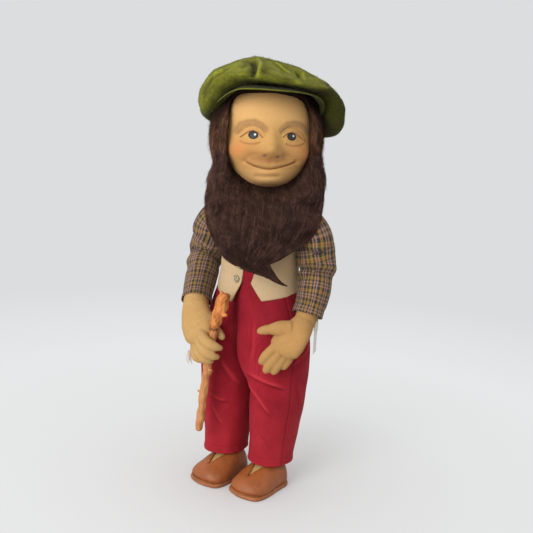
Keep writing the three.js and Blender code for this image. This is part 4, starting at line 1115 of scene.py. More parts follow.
def make_shirt():
    turns, z = circle(144), stretches(224, (303, 60), (304.5, 3))[:, None]
    shirt = grid("shirt_body_tartan", round_form(TORSO, turns, z, 1.3), PLAID, cloth=xyz(turns * 38, z, 0.0))
    carried(shirt, "torso", "plaid_cotton", "shirt_body")
    turns = circle(96)
    r, h = columns([
        (17.9, 303.2), (21.0, 304.4), (20.9, 308), (20.5, 311.4), (19.6, 311.9), (18.7, 311.3), (18.5, 305),
    ])
    points = xyz(r * np.sin(turns), -r * np.cos(turns), h)
    collar = grid("shirt_collar_band", points, PLAID, cloth=xyz(turns * 20, h, 0.0))
    carried(collar, "torso", "plaid_cotton", "shirt_collar")


SLEEVE_PATHS = {
    "right": ([(60.8, 0, 263), (65.5, 3.4, 255), (68.4, 4, 241), (62.5, -14.5, 218), (54.6, -34.8, 195.6)],
              [19.3, 18.9, 18.4, 16.9, 14.9]),
    "left": ([(60.8, 0.5, 263), (62.6, 1.3, 255), (64.5, 2, 243), (66.5, -7.5, 216), (65.3, -16.5, 196)],
             [19.3, 18.7, 17.8, 15.8, 14.2]),
}
# Sleeve folds as place along, angle from the front, slope, height, width and reach round the arm.
SLEEVE_FOLDS = {
    "right": [
        (50, 0.2, 3.0, 2.6, 4.5, 1.0), (60, -0.9, -5.0, 2.2, 4.0, 1.1), (39, -0.3, 5.0, 1.4, 4.0, 1.0),
        (72, 0.9, -4.0, 1.1, 5.0, 0.9), (30, 1.4, 6.0, 1.2, 5.0, 0.9), (84, -0.8, 3.0, 1.0, 5.0, 1.0),
        (58, 3.0, 0.0, 1.6, 6.0, 1.2),
    ],
    "left": [
        (52, 0.1, 1.5, 3.0, 4.2, 1.5), (43, -0.7, 6.0, 1.6, 4.0, 0.9), (63, -0.9, -6.0, 1.6, 4.0, 0.9),
        (26, 0.3, 7.0, 1.3, 5.0, 0.9), (80, 0.4, -3.0, 0.9, 6.0, 1.0), (56, 2.9, 0.0, 1.4, 6.0, 1.2),
    ],
}


def make_sleeve(side_name):
    """A sleeve that leaves the armhole, turns down over the shoulder and bags at the elbow.

    It is made for the left side, x outward, and mirrored for the right one.
    """
    side = SIDES[side_name]
    path, radii = SLEEVE_PATHS[side_name]
    over = np.linspace(0, math.pi / 2, 14)
    arc = np.array([40.8, 0, 263.2]) + 19.9 * xyz(np.sin(over), 0.0, np.cos(over))
    centres = np.vstack([arc, curved(path, 74)[1:]])
    ahead = np.gradient(centres, axis=0)
    ahead[:14] = xyz(np.cos(over), 0.0, -np.sin(over))
    ahead = unit(ahead)
    radius = np.concatenate([np.linspace(18.6, 19.3, 14), np.interp(np.linspace(0, 4, 74), range(5), radii)[1:]])
    forward = np.array([0.0, -1.0, 0.0])
    front = unit(forward - ahead * (ahead @ forward)[:, None])
    outward = np.cross(front, ahead)
    turn, row = np.meshgrid(circle(120), np.arange(len(centres)))
    v = run(centres)[row]
    to_hem = v - v[-1]
    # The crease mark is painted shade: on the sleeve's inner side, towards the body, and below its folds.
    crease = 0.45 * bell(np.sin(turn) + 1, 0.5) * ease((v - 24) / 22)
    swell = 0.45 * ripple(xyz(turn * 18, v, 0.0), 22, 41 + side) * ease(v / 20)
    swell += 0.8 * ease((to_hem + 8) / 8) - 0.35 * bell(to_hem + 9.0)
    for at, angle, slope, depth, width, spread in SLEEVE_FOLDS[side_name]:
        away = wrapped(turn - angle)
        near = depth * bell(away, spread)
        line = (v - at - slope * away) / width
        swell += 1.2 * near * (bell(line) - 0.85 * bell(line - 1.7))
        crease += 0.2 * near * bell(line - 1.6, 0.6)
    reach = radius[row] * (1 - 0.06 * np.cos(2 * turn)) + swell
    spokes = np.cos(turn)[..., None] * front[row] + np.sin(turn)[..., None] * outward[row]
    points = centres[row] + reach[..., None] * spokes
    hem, to_middle = points[-1], centres[-1] - points[-1]
    inner = hem + to_middle * 0.055
    returned = [inner, inner - ahead[-1] * 7, hem + to_middle * 0.16 - ahead[-1] * 12]
    points = np.vstack([points, np.array(returned)]) * (side, 1, 1)
    strip = bell(turn - 0.95, 0.11) * ease((v - 8) / 6) * ease((66 - v) / 6) * (side < 0)
    marks = {"cloth": xyz(turn * 19.0 * side, v, 0.0), "crease": np.clip(crease, 0, 0.9), "strip": strip}
    marks = {key: np.vstack([mark, [mark[-1]] * 3]) for key, mark in marks.items()}
    sleeve = grid(f"sleeve_{side_name}_tartan", points, PLAID, flip=side > 0, **marks)
    crossing(sleeve, ("torso", f"arm_{side_name}"), (side * 39.9, 0, 263.2), (side * 50.6, 0, 261.6),
             "plaid_cotton", f"sleeve_{side_name}")


def thicken(points, outward, thick):
    """Closes a sheet of points into a thin slab with rounded edges. Returns points and faces."""
    rows, across = points.shape[:2]
    count = rows * across
    sheet, normals = points.reshape(-1, 3), outward.reshape(-1, 3)
    ring = np.concatenate([
        np.arange(across), np.arange(1, rows) * across + across - 1,
        (rows - 1) * across + np.arange(across - 2, -1, -1), np.arange(rows - 2, 0, -1) * across,
    ])
    middle = (sheet + normals * thick / 2)[ring]
    ahead = np.roll(middle, -1, axis=0) - np.roll(middle, 1, axis=0)
    edge = middle + unit(np.cross(ahead, normals[ring])) * thick * 0.35
    k = 2 * count + np.arange(len(ring))
    after, ring_after = np.roll(k, -1), np.roll(ring, -1)
    flat = grid_faces(rows, across, False)
    faces = [flat, flat[:, ::-1] + count, xyz(ring, k, after, ring_after),
             xyz(k, count + ring, count + ring_after, after)]
    return np.vstack([sheet + normals * thick, sheet, edge]), np.vstack(faces)


VEST_WIDTH = 42.0
# Lower and upper edges of the waistcoat's pieces by x on its front, and its armholes by angle.
VEST_EDGES = {
    "right": (
        [(1.5, 243), (2.2, 232), (3.3, 220.4), (12.5, 200), (36, 208), (42, 211.5)],
        [(1.5, 243.5), (6, 262), (18, 296), (21, 303), (42, 304)],
    ),
    "left": (
        [(8, 222), (19, 205.6), (42, 211.5)],
        [(8, 222.5), (13, 240), (17, 262), (18, 296), (20, 303), (42, 304)],
    ),
}
ARMHOLE = [(0.0, 400), (1.02, 400), (1.1, 292), (1.2, 270), (1.36, 261), (math.pi / 2, 259)]


def make_vest_piece(name, node, turns, low, high, rows=72):
    """A panel of felt on the trunk between two edges, given by angle."""
    z = low + (high - low) * np.linspace(0, 1, rows)[:, None]
    s, c = np.sin(turns), np.cos(turns)
    grow = 3.5 + 0.5 * ripple(xyz(s * 40, c * 40, z), 40, 71) + 1.6 * ease((230 - z) / 20)
    made, faces = thicken(round_form(TORSO, turns, z, grow), xyz(s, -c, z * 0), 1.9)
    carried(make_mesh(name, made, faces, VEST), "torso", "waistcoat_felt", node)


def make_waistcoat():
    for side_name, side in SIDES.items():
        low, high = VEST_EDGES[side_name]
        start = math.asin(low[0][0] / VEST_WIDTH)
        turns = start + (math.pi / 2 - 0.01 - start) * np.linspace(0, 1, 90) ** 1.25
        x = VEST_WIDTH * np.sin(turns)
        top = np.minimum(np.interp(x, *zip(*high)), np.interp(turns, *zip(*ARMHOLE)))
        names = f"vest_front_{side_name}", f"waistcoat_front_{side_name}"
        make_vest_piece(*names, turns * side, np.interp(x, *zip(*low)), top)
    turns = np.linspace(math.pi / 2 + 0.01, 3 * math.pi / 2 - 0.01, 110)
    top = np.minimum(304.5, np.interp(np.abs(turns - math.pi), *zip(*ARMHOLE)))
    make_vest_piece("vest_back", "waistcoat_back", turns, np.full(110, 212.0), top, 60)


def make_button():
    """A domed metal button with a raised rim and a faint pattern of rays, rubbed low."""
    turn = math.asin(-9.0 / VEST_WIDTH)
    away = unit(np.array([0.6 * math.sin(turn), -math.cos(turn), 0.0]))
    upward = np.array([0, 0, 1.0])
    turns = circle(60)
    r, h = columns([
        (0.05, -0.6), (3.0, -0.6), (3.75, -0.1), (3.85, 0.5), (3.6, 1.0), (3.1, 1.05), (2.7, 0.7), (2.0, 0.95),
        (1.1, 1.35), (0.05, 1.5),
    ])
    h = h + 0.12 * np.cos(turns * 12) * ((r > 1.0) & (r < 2.9))
    spokes = np.cos(turns)[:, None] * np.cross(away, upward) + np.sin(turns)[:, None] * upward
    points = round_form(TORSO, turn, 224.5, 5.9) + away * h[..., None] + r[..., None] * spokes
    carried(grid("button_metal_domed", points, BUTTON), "torso", "button_metal", "waistcoat_button")


# Rows of height, half width, half depth, centre y and centre x of one leg, up into its half of the seat.
TROUSER_SECTION = [
    (29, 23.4, 27.0, 1, 29.5), (50, 24.3, 29.0, 1, 29.6), (76, 26.4, 32, 0, 29.9), (100, 28.3, 35, -0.5, 30.3),
    (124, 29.3, 36.4, -1, 30.6), (140, 29.9, 36.0, -1, 30.4), (150, 30.8, 35.4, -1, 29.4),
    (160, 33.0, 34.6, -0.5, 26.6), (172, 37.6, 33.2, 0, 21.5), (184, 40.6, 31.6, 0, 15.5), (196, 41.8, 30.6, 0, 10),
    (210, 42.4, 29.8, 0, 4.5), (222, 42.2, 29.4, 0, 1.2), (230, 41.6, 29.2, 0, 0.3), (240, 41.0, 29.0, 0, 0.2),
]
HEM_SHIFT = {"right": 2.0, "left": -4.4}
# Where the two halves meet at the front, as height and x: the left leg's cloth lies over the right one's.
SPLIT = [
    (100, 14.5), (108, 12.3), (121, 5.0), (129, -1.4), (136, -6.0), (143, -9.0), (153, -10.6), (170, -11.4),
    (190, -12.2), (205, -11.0), (222, -9.0), (240, -9.0),
]
# How far the right half passes behind the left one, as height and mm.
TUCK = [(100, 0), (118, 2.0), (140, 4.5), (170, 6.0), (200, 3.4), (222, 1.6), (240, 1.2)]
# Trouser folds: a route of (place across the front, height), height of the ridge, depth of the crease and width.
TROUSER_FOLDS = {
    "right": [
        ([(25, 142), (13.5, 121), (7, 107)], 1.0, 0.8, 6), ([(33.5, 89), (27.2, 75.7), (19, 59)], 1.1, 0.9, 6),
        ([(36, 99), (22.4, 92), (13, 91)], 0.8, 1.0, 6), ([(58, 150), (45, 128), (40, 112)], 1.2, 1.0, 7),
        ([(105, 150), (118, 112)], 1.0, 0.5, 8), ([(70, 118), (80, 88)], 0.8, 0.4, 7),
    ],
    "left": [
        ([(9, 131), (22.5, 127.4), (33, 124.7), (44.7, 121.3), (57, 115.5)], 1.5, 2.0, 7),
        ([(7, 121), (14.8, 115), (26.1, 105.5), (33.6, 95), (40.5, 85.5)], 1.5, 2.2, 7),
        ([(60, 139), (70, 149), (82, 158)], 1.0, 1.4, 6),
        ([(12, 190), (16, 160), (14, 140)], 0.7, 0.5, 7), ([(22, 72), (34, 60), (44, 46)], 0.5, 0.4, 7),
        ([(105, 152), (118, 112)], 1.0, 0.5, 8), ([(68, 124), (76, 92)], 0.8, 0.4, 7),
    ],
}


def fold(u, z, route, ridge, crease, width):
    """Relief of one fold: it swells down to the line, drops off sharply below it and comes slowly back. It also gives
    where the cloth is painted darker as shade and lighter as highlight.
    """
    best, above, along = np.full(u.shape, 1e9), np.zeros(u.shape), np.zeros(u.shape)
    onward = 1 if route[-1][0] > route[0][0] else -1
    for k, (t, du, dz) in enumerate(to_segments(u, z, route)):
        (u0, z0), (u1, z1) = route[k:k + 2]
        distance = np.hypot(du, dz)
        nearer = distance < best
        best = np.where(nearer, distance, best)
        above = np.where(nearer, onward * (dz * (u1 - u0) - du * (z1 - z0)), above)
        along = np.where(nearer, k + t, along)
    above = above > 0
    share = along / (len(route) - 1)
    taper = ease(share / 0.3) * ease((1 - share) / 0.3)
    drop = ease(best / 2.2)
    lower = (ridge * (1 - drop) - crease * drop) * bell(np.maximum(0, best - 2.2), width)
    relief = np.where(above, ridge * bell(best, width), lower)
    dark = np.where(above, bell(best, 0.6), bell(np.maximum(0, best - 1.0), 2.2))
    light = np.where(above, bell(best - 1.8, 1.7), 0)
    return taper * relief, taper * dark, taper * light


def make_trouser_half(side_name):
    """One side of the trousers, from the waistband down to the hem, with its half of the seat.

    Its front runs on past the leg's own round as far as the line between the halves, where the left one
    ends in a firm edge and the right one passes behind it.
    """
    side = SIDES[side_name]
    left = side > 0
    heights = stretches(29, (150, 140), (180, 30), (240, 44))
    a, b, cy, cx = sample(TROUSER_SECTION, heights)
    cx = cx + HEM_SHIFT[side_name] * np.clip(1 - (heights - 29) / 71, 0, 1)
    split = rounded(side * np.interp(heights, *zip(*SPLIT)))
    closed = ease((152 - heights) / 8)
    grown = ease((heights - 104) / 18) * left

    def end_at(x):
        """The angle where the cloth ends above the crotch, at a place in x; below it runs all the way round."""
        return np.arccos(np.clip((x - cx) / a, -1, 1)) * (1 - closed) + math.pi * closed

    front_end = np.full(len(heights), math.pi) if left else end_at(-12)
    back_end = end_at(0.35)
    rows = []
    for k in range(len(heights)):
        angle = np.linspace(-front_end[k], back_end[k], 700)
        s, c = np.sin(angle), np.cos(angle)
        inner_front = angle < -math.pi / 2
        reach = a[k] + (cx[k] - split[k] - a[k]) * grown[k]
        back_reach = a[k] + (reach - a[k]) * ease((angle - 0.78 * math.pi) / (0.22 * math.pi)) * closed[k]
        wide = np.where(inner_front, reach, np.where(angle > math.pi / 2, back_reach, a[k]))
        power = np.where(inner_front, 1 - 0.5 * grown[k], 1.0)
        x = cx[k] + wide * np.sign(c) * np.abs(c) ** power
        y = cy[k] + b[k] * np.sign(s) * np.abs(s) ** power
        length = run(np.column_stack([x, y]))
        at = np.linspace(0, length[-1], 220)
        rows.append([np.interp(at, length, values) for values in (x, y, angle)])
    x, y, angle = np.array(rows).transpose(1, 0, 2)
    s, c = np.sin(angle), np.cos(angle)
    z = np.broadcast_to(heights[:, None], angle.shape)
    centre, edge = cx[:, None], split[:, None]
    u = np.where(angle < -math.pi / 2, x, centre + 30 * (angle + math.pi / 2))
    # The crease mark is painted shade: in the folds' creases, along the side seam, higher up and where the right half
    # passes behind the left. The lighter mark is painted highlight on the folds' ridges and painted light towards the
    # hem.
    swell, crease, worn = np.zeros((3, *angle.shape))
    for route, ridge, deep, width in TROUSER_FOLDS[side_name]:
        relief, dark, light = fold(u, z, route, ridge, deep, width)
        swell += 1.5 * relief
        crease = np.maximum(crease, dark * min(1, deep / 2))
        worn = np.maximum(worn, light * min(1, ridge / 1.5))
    place = xyz(c * 30 * side, s * 30, z * 0.7)
    swell += (ripple(place, 44, 51 + side) + 0.35 * ripple(place, 17, 61 + side)) * ease((235 - z) / 50)
    seam = bell(u - centre - 30, 0.7) * ease((218 - z) / 8)
    swell -= 0.8 * seam
    crease = np.maximum(crease, 0.5 * seam)
    shaded = ease((z - 150) / 40) + ease((z - 160) / 20) * ease((u - centre) / 12 + 0.5) * left
    crease = np.maximum(crease, 0.22 * shaded)
    # Painted light: lighter towards the hem.
    worn = np.maximum(worn, 0.3 * ease((112 - z) / 50))
    swell += 0.5 * ease((31.5 - z) / 2.0) - 0.45 * bell(z - 36.5, 0.8)
    swell *= ease((angle + math.pi) / (0.1 * math.pi))
    x = x + c * swell
    y = y + s * swell
    in_front = ease(-(y + 2) / 12) * ease((z - 100) / 22)
    if left:
        y -= 1.4 * bell(x - edge - 8, 7) * in_front * ease((214 - z) / 12)
    else:
        # Painted shade along the line where the right half passes behind the left.
        crease = np.maximum(crease, 0.9 * in_front * bell(np.maximum(0, x - edge - 0.5), 2.4))
        y += np.interp(z, *zip(*TUCK)) * ease((edge + 13 - x) / 14) * in_front
    points = xyz(side * x, y, z)
    hem = points[0]
    to_middle = np.array([side * cx[0], cy[0], heights[0]]) - hem
    points = np.vstack([np.array([hem + to_middle * 0.1 + (0, 0, 12), hem + to_middle * 0.055]), points])
    marks = {"cloth": xyz(angle * (a + b)[:, None] / 2 * side, z, 0.0), "crease": crease, "worn": worn}
    marks = {key: np.vstack([mark[:1], mark[:1], mark]) for key, mark in marks.items()}
    half = grid(f"trousers_{side_name}_half", points, CORD, wrap=False, flip=side < 0, **marks)
    nodes = [f"trouser_leg_{side_name}"] + (["trousers_seat"] if left else [])
    crossing(half, ("torso", f"leg_{side_name}"), (0, 0, 200), (0, 0, 150), "corduroy", *nodes)


def make_waistband():
    turns = circle(144)
    grow, z = columns([
        (2.2, 227.4), (3.2, 227.8), (3.5, 229), (3.4, 234), (3.4, 239.2), (3.0, 240.2), (2.1, 240.3), (1.7, 239),
    ])
    band = grid("trousers_waistband_cord", round_form(TORSO, turns, z, grow), CORD, cloth=xyz(z, turns * 38, 0.0))
    carried(band, "torso", "corduroy", "trousers_waistband")


make_torso()
make_shirt()
for side_name in SIDES:
    make_sleeve(side_name)
make_waistcoat()
make_button()
for side_name in SIDES:
    make_trouser_half(side_name)
make_waistband()


# Hands and arms

def closed_tube(points):
    """Points and faces of a tube with both ends closed by a centre point."""
    rows, count = points.shape[:2]
    flat = np.vstack([points.reshape(-1, 3), points[0].mean(axis=0), points[-1].mean(axis=0)])
    first, last, base = len(flat) - 2, len(flat) - 1, (rows - 1) * count
    faces = grid_faces(rows, count, True).tolist()
    for k in range(count):
        after = (k + 1) % count
        faces += [[first, after, k], [last, base + k, base + after]]
    return flat, faces


def tube(path, radii, sides, count, flatness=0.0):
    """A closed tube along a curved path, flattened from its start on if flatness is given."""
    centres = curved(path, count)
    radius = np.interp(np.linspace(0, len(radii) - 1, count), range(len(radii)), radii)[:, None, None]
    ahead = unit(np.gradient(centres, axis=0))
    across = unit(np.array([1.0, 0, 0]) - ahead * ahead[:, :1])
    thin = 1 - flatness * np.minimum(1, np.linspace(0, 1, count) * 2.6)
    over = np.cross(ahead, across) * thin[:, None]
    turns = circle(sides)[None, :, None]
    return closed_tube(centres[:, None] + radius * (np.cos(turns) * across[:, None] + np.sin(turns) * over[:, None]))


def merged(parts):
    """Points and faces of several shapes as one."""
    points, faces = [], []
    for part_points, part_faces in parts:
        faces += [[i + len(points) for i in face] for face in part_faces]
        points.extend(part_points.tolist())
    return points, faces


def add_modifier(obj, kind, **settings):
    modifier = obj.modifiers.new(kind.lower(), kind)
    for key, value in settings.items():
        setattr(modifier, key, value)


def evaluated(obj):
    graph = bpy.context.evaluated_depsgraph_get()
    return bpy.data.meshes.new_from_object(obj.evaluated_get(graph))


def moulded(name, parts, voxel, smoothing, material):
    """Joins overlapping closed shapes into one smooth skin."""
    rough = linked(name + "_rough", raw_mesh(name, *merged(parts)))
    add_modifier(rough, "REMESH", mode="VOXEL", voxel_size=voxel * MM)
    add_modifier(rough, "SMOOTH", iterations=smoothing, factor=0.5)
    made = evaluated(rough)
    bpy.data.objects.remove(rough)
    made.name = name
    return dressed(name, made, material)


# Paths with radii for the forearms and palms. The fingers have one radius each, and the thumb is the last.
HANDS = {
    "right": {
        "arm": ([(-50, 0, 284), (-60, 0, 274), (-65.5, 3, 258), (-69, 4, 240), (-62.5, -14.5, 218),
                 (-55.6, -32.6, 199), (-52.6, -38.4, 191)], [12, 15, 15.4, 14.6, 13.4, 13.2, 13.4]),
        "palm": ([(-52.6, -38.4, 192), (-49, -43, 184), (-44, -48.5, 174), (-38, -52.5, 164), (-34, -53.5, 158)],
                 [13.6, 16.0, 17.2, 16, 10]),
        "fingers": [
            (5.8, [(-38, -52, 169), (-28.5, -60.5, 166), (-20.5, -64.5, 162.5), (-12.5, -62.5, 159.5),
                   (-7.5, -56.5, 157)]),
            (5.7, [(-39, -52, 161), (-30.5, -60.5, 157.5), (-22.5, -64.5, 153), (-15, -62.5, 149.5),
                   (-10.5, -57, 147.5)]),
            (5.4, [(-42, -51, 154.5), (-34.5, -58.5, 150.5), (-27.5, -63, 146.5), (-21, -61.5, 143.5),
                   (-17, -57, 142)]),
            (4.9, [(-46, -48, 153), (-41, -55, 147.5), (-36, -59, 143.5), (-31, -58, 141.5), (-28, -54.5, 140.5)]),
            (4.8, [(-42, -41, 183), (-32, -42, 177), (-23.5, -43, 170.5), (-16.5, -44, 165.5),
                   (-13.5, -44.5, 162.5)]),
        ],
    },
    "left": {
        "arm": ([(50, 0, 284), (60, 0, 274), (62.5, 1, 258), (64.5, 2, 243), (66.5, -7.5, 216), (65.3, -16.5, 196),
                 (64.3, -21, 187)], [12, 15, 15.2, 14, 12.2, 11.0, 10.8]),
        "palm": ([(64.3, -21, 188), (62.5, -32, 181), (59, -39, 173), (55, -43, 165), (53, -44.5, 160)],
                 [11.2, 15.6, 17.8, 16.8, 11.5]),
        "fingers": [
            (5.2, [(51, -42, 172), (46, -47, 165), (40.5, -50.5, 158), (36.5, -52, 152), (34, -52, 148)]),
            (5.2, [(54, -41, 167), (50, -46, 158), (45, -49.5, 150), (41, -50.5, 143.5), (38.5, -50, 139.5)]),
            (4.9, [(57, -39, 164), (54.5, -43.5, 155), (50.5, -46.5, 148), (47.5, -47, 142), (45.5, -46.5, 138.5)]),
            (4.5, [(60, -35, 164), (59.5, -39, 156), (57, -41.5, 150.5), (55, -42, 146.5), (53.5, -41.5, 144)]),
            (4.9, [(57, -36, 183), (48, -42, 184), (39.5, -47, 183), (32.5, -50, 181), (28.5, -51, 179.5)]),
        ],
    },
}
FINGER_SHAPE = np.array([0.9, 1, 1, 0.98, 0.78, 0.4])


def make_arm(side_name, material):
    hand = HANDS[side_name]
    parts = [tube(*hand["arm"], 26, 40), tube(*hand["palm"], 26, 30, 0.46)]
    parts += [tube(path, radius * FINGER_SHAPE, 16, 22) for radius, path in hand["fingers"]]
    radius, thumb = hand["fingers"][-1]
    parts.append(tube(thumb[:3], [radius * 2.0, radius * 1.65, radius], 20, 14))
    arm = moulded(f"arm_{side_name}_felt", parts, 0.85, 9, material)
    return carried(arm, f"arm_{side_name}", "skin_felt", f"arm_{side_name}")


make_arm("right", HAND)
make_arm("left", SHADED_HAND)


# Walking stick, by place along it from the grip

STICK_GRIP = np.array([-21.5, -53.5, 166.0])
STICK_BEND = np.array([0.13, 0.07, 0.0])
STICK_LEAN = np.array([0.118, 0.012, 1.0]) / np.linalg.norm([0.118, 0.012, 1.0])
STICK_BELOW, STICK_ABOVE, STICK_RADIUS = 104, 47, 4.4
# Knots: place along, angle, height and reach. Spurs: place along, their tip from there, and thickness.
KNOTS = [(-38, 0.4, 1.5, 4.0), (-64, 3.0, 1.4, 4.0), (-86, 1.2, 1.0, 4.0), (30, 0.2, 1.6, 5.0), (40, 2.8, 1.2, 4.0)]
SPURS = [
    (43, (-3.0, -0.6, 5.5), 2.6), (42, (4.4, -0.8, 4.4), 2.6), (25, (12.0, -2.5, 0.5), 2.9),
    (-36, (7.2, -2.5, 2.0), 1.7), (-62, (-6, -2.5, 3), 1.8), (35, (-5.5, -3.0, 1.5), 2.2),
]


def stick_middle(along):
    along = np.asarray(along, float)[..., None]
    return STICK_GRIP + STICK_LEAN * along + STICK_BEND * np.maximum(0, along - 9)


def make_stick():
    """A branch: straight lower shaft, thicker barked head with a forked top, knots and spurs."""
    turn, along = np.meshgrid(circle(36), np.linspace(-STICK_BELOW, STICK_ABOVE, 170))
    held = np.exp(-(((along + 5) / 17) ** 8))
    rough = np.where(along > 0, 0.4, 0.24) * np.sin(along * 0.21 + 2 * turn)
    rough += 0.3 * np.sin(along * 0.47 - turn) + 0.25 * np.sin(3 * turn + along * 0.33)
    rough -= 0.3 * np.clip(-along / 60, 0, 1)
    rough += 1.9 * ease((along - 8) / 7)
    for at, angle, size, reach in KNOTS:
        rough += size * spot(along, wrapped(turn - angle), at, 0, reach, 0.8)
    rugged = 0.7 * np.sin(turn * 4 + along * 0.12) ** 3 + 0.4 * np.sin(turn * 7 - along * 0.3) * np.sin(along * 0.5)
    rough += np.where(along > 9, rugged * ease((along - 9) / 6), 0.15 * np.sin(turn * 5))
    halfway, half = (STICK_ABOVE - STICK_BELOW) / 2, (STICK_ABOVE + STICK_BELOW) / 2
    closing = np.sqrt(np.clip(1 - ((along - halfway) / half) ** 60, 0, 1))
    r = (STICK_RADIUS + (1 - held) * rough) * np.maximum(closing, 0.03)
    bend = 0.54 * np.sin(along * 0.045) * (1 - held)
    parts = [closed_tube(stick_middle(along) + xyz(r * np.cos(turn) + bend, r * np.sin(turn), 0.0))]
    for at, reach, size in SPURS:
        root = stick_middle(at)
        end = root + np.array(reach)
        parts.append(tube([root, (root + end) / 2, end], [size, size * 0.85, size * 0.5], 14, 8))
    stick = moulded("walking_stick_wood", parts, 0.6, 2, WOOD)
    local = (np.array([v.co for v in stick.data.vertices]) - AXIS) / MM - STICK_GRIP
    along = local @ STICK_LEAN
    grain = local - along[:, None] * STICK_LEAN
    grain[:, 2] = along
    # A dark ring round the stick where its barked head meets the shaft.
    burnt = 0.85 * bell(along - 9.0 - 0.8 * np.sin(grain[:, 0] * 2.1), 1.6)
    cut = 0.6 * np.maximum(ease((along - 46) / 3), ease((-101.5 - along) / 1.5))
    set_marks(stick.data, {"grain": grain, "bark": ease((along - 4) / 5), "cut": cut, "burnt": burnt})
    return carried(stick, "stick", "stick_wood", "walking_stick")


make_stick()


# Legs and shoes

# The shoe's form: place along from the heel, share of its half width, and height.
LAST = [
    (-33, 0.42, 16), (-31, 0.62, 21), (-25, 0.8, 26), (-15, 0.86, 28), (-5, 0.9, 26),
    (5, 0.97, 21.5), (15, 1, 17), (24, 0.95, 13.5), (30, 0.8, 10.5), (33, 0.5, 7.5),
]
LEG = [
    (26, 11, 12, -3, 28), (44, 11.5, 12.5, -2, 28.5), (64, 13, 15, -1, 29), (90, 16.5, 20, 0, 30),
    (120, 23, 27, 0, 30.6), (146, 26.4, 30, 0, 30.4), (171, 23, 29.4, 0, 29),
]


def foot_place(points, side_name):
    return turned(points, FOOT_TURN, FOOT_PLACES[side_name])


def shoe_surface(grow, floor, rows, count):
    """The shoe's form along its length, heel first."""
    half = SHOE_LENGTH / 2
    t = -np.cos(np.linspace(0, math.pi, rows))[:, None]
    wide, high = sample(LAST, t * half)
    end = np.sqrt(np.clip(1 - np.abs(t) ** 9, 0, 1))
    width = (wide * SHOE_WIDTH / 2 + grow) * np.maximum(end, 0.02)
    top = (high + grow) * np.maximum(end, 0.05) ** 0.5
    c, s = np.cos(circle(count)), np.sin(circle(count))
    low = 1 - 0.08 * np.clip(-s, 0, 1) ** 3
    return xyz(c * width * low, -t * (half + grow), floor + top * np.maximum(0, s) ** 0.8)


def make_shoe(side_name):
    """Leather upper with a V notch at the front, cut open at the ankle."""
    side = SIDES[side_name]
    points = shoe_surface(0, SOLE_THICK + 0.2, 70, 64)
    bulge = ripple(points, 26, 81 + side) * 0.5 + ripple(points, 9, 83 + side) * 0.16
    bulge -= 1.5 * bell(points[..., 2] - SOLE_THICK - 1.6, 0.9)
    away = points - np.array([0, 0, 8.0])
    away[..., 1] *= np.where(np.abs(away[..., 1]) > 20, 0.5, 0)
    points = points + unit(away) * bulge[..., None]
    upper = make_mesh(f"shoe_{side_name}_upper", *closed_tube(foot_place(points, side_name)), SHOE)
    add_modifier(upper, "SOLIDIFY", thickness=1.4 * MM, offset=-1)
    turns = circle(40)
    ankle = xyz(side * 27.5 + 13.0 * np.cos(turns), -2.5 + 14.0 * np.sin(turns), 0.0)
    notch = foot_place([(-0.4, -20.5, 0), (7.0, 2, 0), (-7.8, 2, 0)], side_name)
    cutters = []
    for outline, low in ((ankle, SOLE_THICK + 9), (notch, 10.5)):
        cutters.append(linked("cutter", raw_mesh("cutter", *prism(outline, (0, 0, low), (0, 0, 40)))))
        add_modifier(upper, "BOOLEAN", operation="DIFFERENCE", solver="EXACT", object=cutters[-1])
    shaped = evaluated(upper)
    upper.modifiers.clear()
    upper.data = shaped
    for cutter in cutters:
        bpy.data.objects.remove(cutter)
    carried(upper, f"leg_{side_name}", "shoe_leather", f"shoe_upper_{side_name}")


def make_sole(side_name):
    half = SHOE_LENGTH / 2 + SOLE_EDGE
    t = -np.cos(np.linspace(0, math.pi, 72))
    wide = sample(LAST, t * half)[0] * SHOE_WIDTH / 2 + SOLE_EDGE
    inner = np.column_stack([-wide * np.sqrt(np.clip(1 - np.abs(t) ** 14, 0, 1)), -t * half])
    outline = np.vstack([inner, inner[-2:0:-1] * (-1, 1)])
    share, z = columns([
        (0.02, 0.0), (0.96, 0.0), (0.985, 0.3), (1.0, 1.0), (1.0, 3.4), (0.985, 4.1), (0.95, SOLE_THICK),
        (0.3, SOLE_THICK),
    ])
    middle = outline.mean(axis=0)
    x, y = (middle[k] + (outline[:, k] - middle[k]) * share for k in (0, 1))
    sole = grid(f"shoe_{side_name}_sole", foot_place(xyz(x, y, z), side_name), SOLE)
    carried(sole, f"leg_{side_name}", "sole_leather", f"shoe_sole_{side_name}")


def make_leg(side_name):
    """The stuffed leg with its foot, inside trousers and shoe."""
    foot = foot_place(shoe_surface(-2.6, SOLE_THICK + 1.5, 50, 44), side_name)
    z = np.linspace(14, 171, 70)[:, None]
    a, b, cy, cx = sample(LEG, z)
    leg = xyz(SIDES[side_name] * cx + np.cos(circle(40)) * a, cy + np.sin(circle(40)) * b, z)
    made = moulded(f"leg_{side_name}_felt", [closed_tube(foot), closed_tube(leg)], 1.4, 4, HAND)
    carried(made, f"leg_{side_name}", "skin_felt", f"leg_{side_name}")


for side_name in SIDES:
    make_shoe(side_name)
    make_sole(side_name)
    make_leg(side_name)


# Swing tag and loose threads

TAG_HANG = np.array([72.6, -9.4, 187.5])
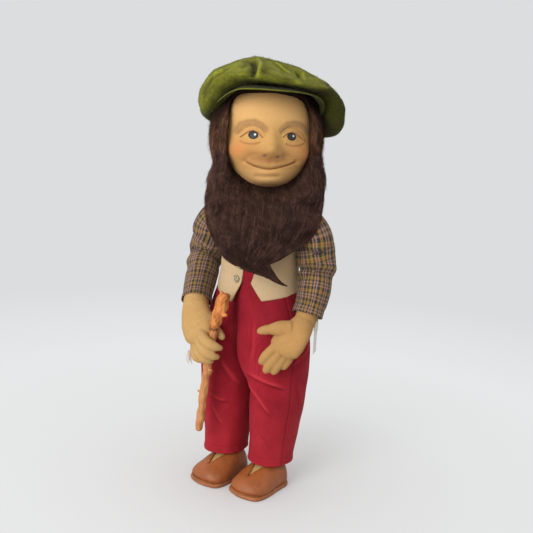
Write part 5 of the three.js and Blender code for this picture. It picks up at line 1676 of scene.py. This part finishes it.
# How far the tag's face is turned from the x axis, and half the card's thickness.
TAG_TURN = math.radians(14)
CARD_HALF = 0.25
CARD_OUTLINE = [(-5.5, 0), (-7, -4), (-7, -31), (7, -31), (7, -4), (5.5, 0), (2, 1.5), (-2, 1.5)]


def joined(name, parts, material, body, *nodes):
    carried(make_mesh(name, *merged(parts), material), body, "tag_thread", *nodes)


def make_tag():
    """A blank card seen almost edge on, its looped thread and a bit of dark ribbon from the cuff."""
    s, c = math.sin(TAG_TURN), math.cos(TAG_TURN)
    across, up = np.array(CARD_OUTLINE).T
    outline = TAG_HANG + xyz(-s * across, c * across, up)
    normal = np.array([c, s, 0.0]) * CARD_HALF
    card = make_mesh("tag_card_paper", *prism(outline, -normal, normal), CARD, smooth=False)
    carried(card, "arm_left", "tag_card", "tag_card")
    loops = []
    for spread in (-1.3, 1.4):
        offsets = [(0.4, 0, 10), (0.3 + spread * 0.5, spread, 3), (spread * 0.6, spread * 1.3, -7), (0, 0, -13)]
        loops.append(tube(TAG_HANG + np.array(offsets), [0.45, 0.5, 0.5, 0.4], 8, 24))
    joined("tag_thread", loops, THREAD, "arm_left", "tag_string")
    joined("thread_tuft", [tuft_thread(k) for k in range(7)], TUFT, "arm_right")
    ribbon = TAG_HANG + np.array([(-0.6, -1.0, 9), (0.2, -0.6, 5.5), (0.4, -0.2, 2)])
    joined("tag_ribbon", [tube(ribbon, [0.9, 1.0, 0.7], 8, 10)], RIBBON, "arm_left")


def tuft_thread(k):
    """One of the loose threads that hang below the right fist."""
    start = np.array([-49.5 + 0.5 * k, -54.0 + 0.2 * k, 147.0])
    spread = np.array([0.6 * (k - 3), 0.35 * (k - 3), -11.0 - 2 * (k % 3)])
    return tube([start, start + spread * 0.45 + (0.7 * math.sin(k), 0, 0), start + spread], [0.42, 0.42, 0.3], 6, 10)


make_tag()


# The disc joints stay as they were built

for node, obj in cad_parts.items():
    if not obj.hide_render:
        obj.data.materials.clear()
        obj.data.materials.append(BOARD if "disc" in node else STEEL)

bpy.context.scene.view_settings.view_transform = "Standard"
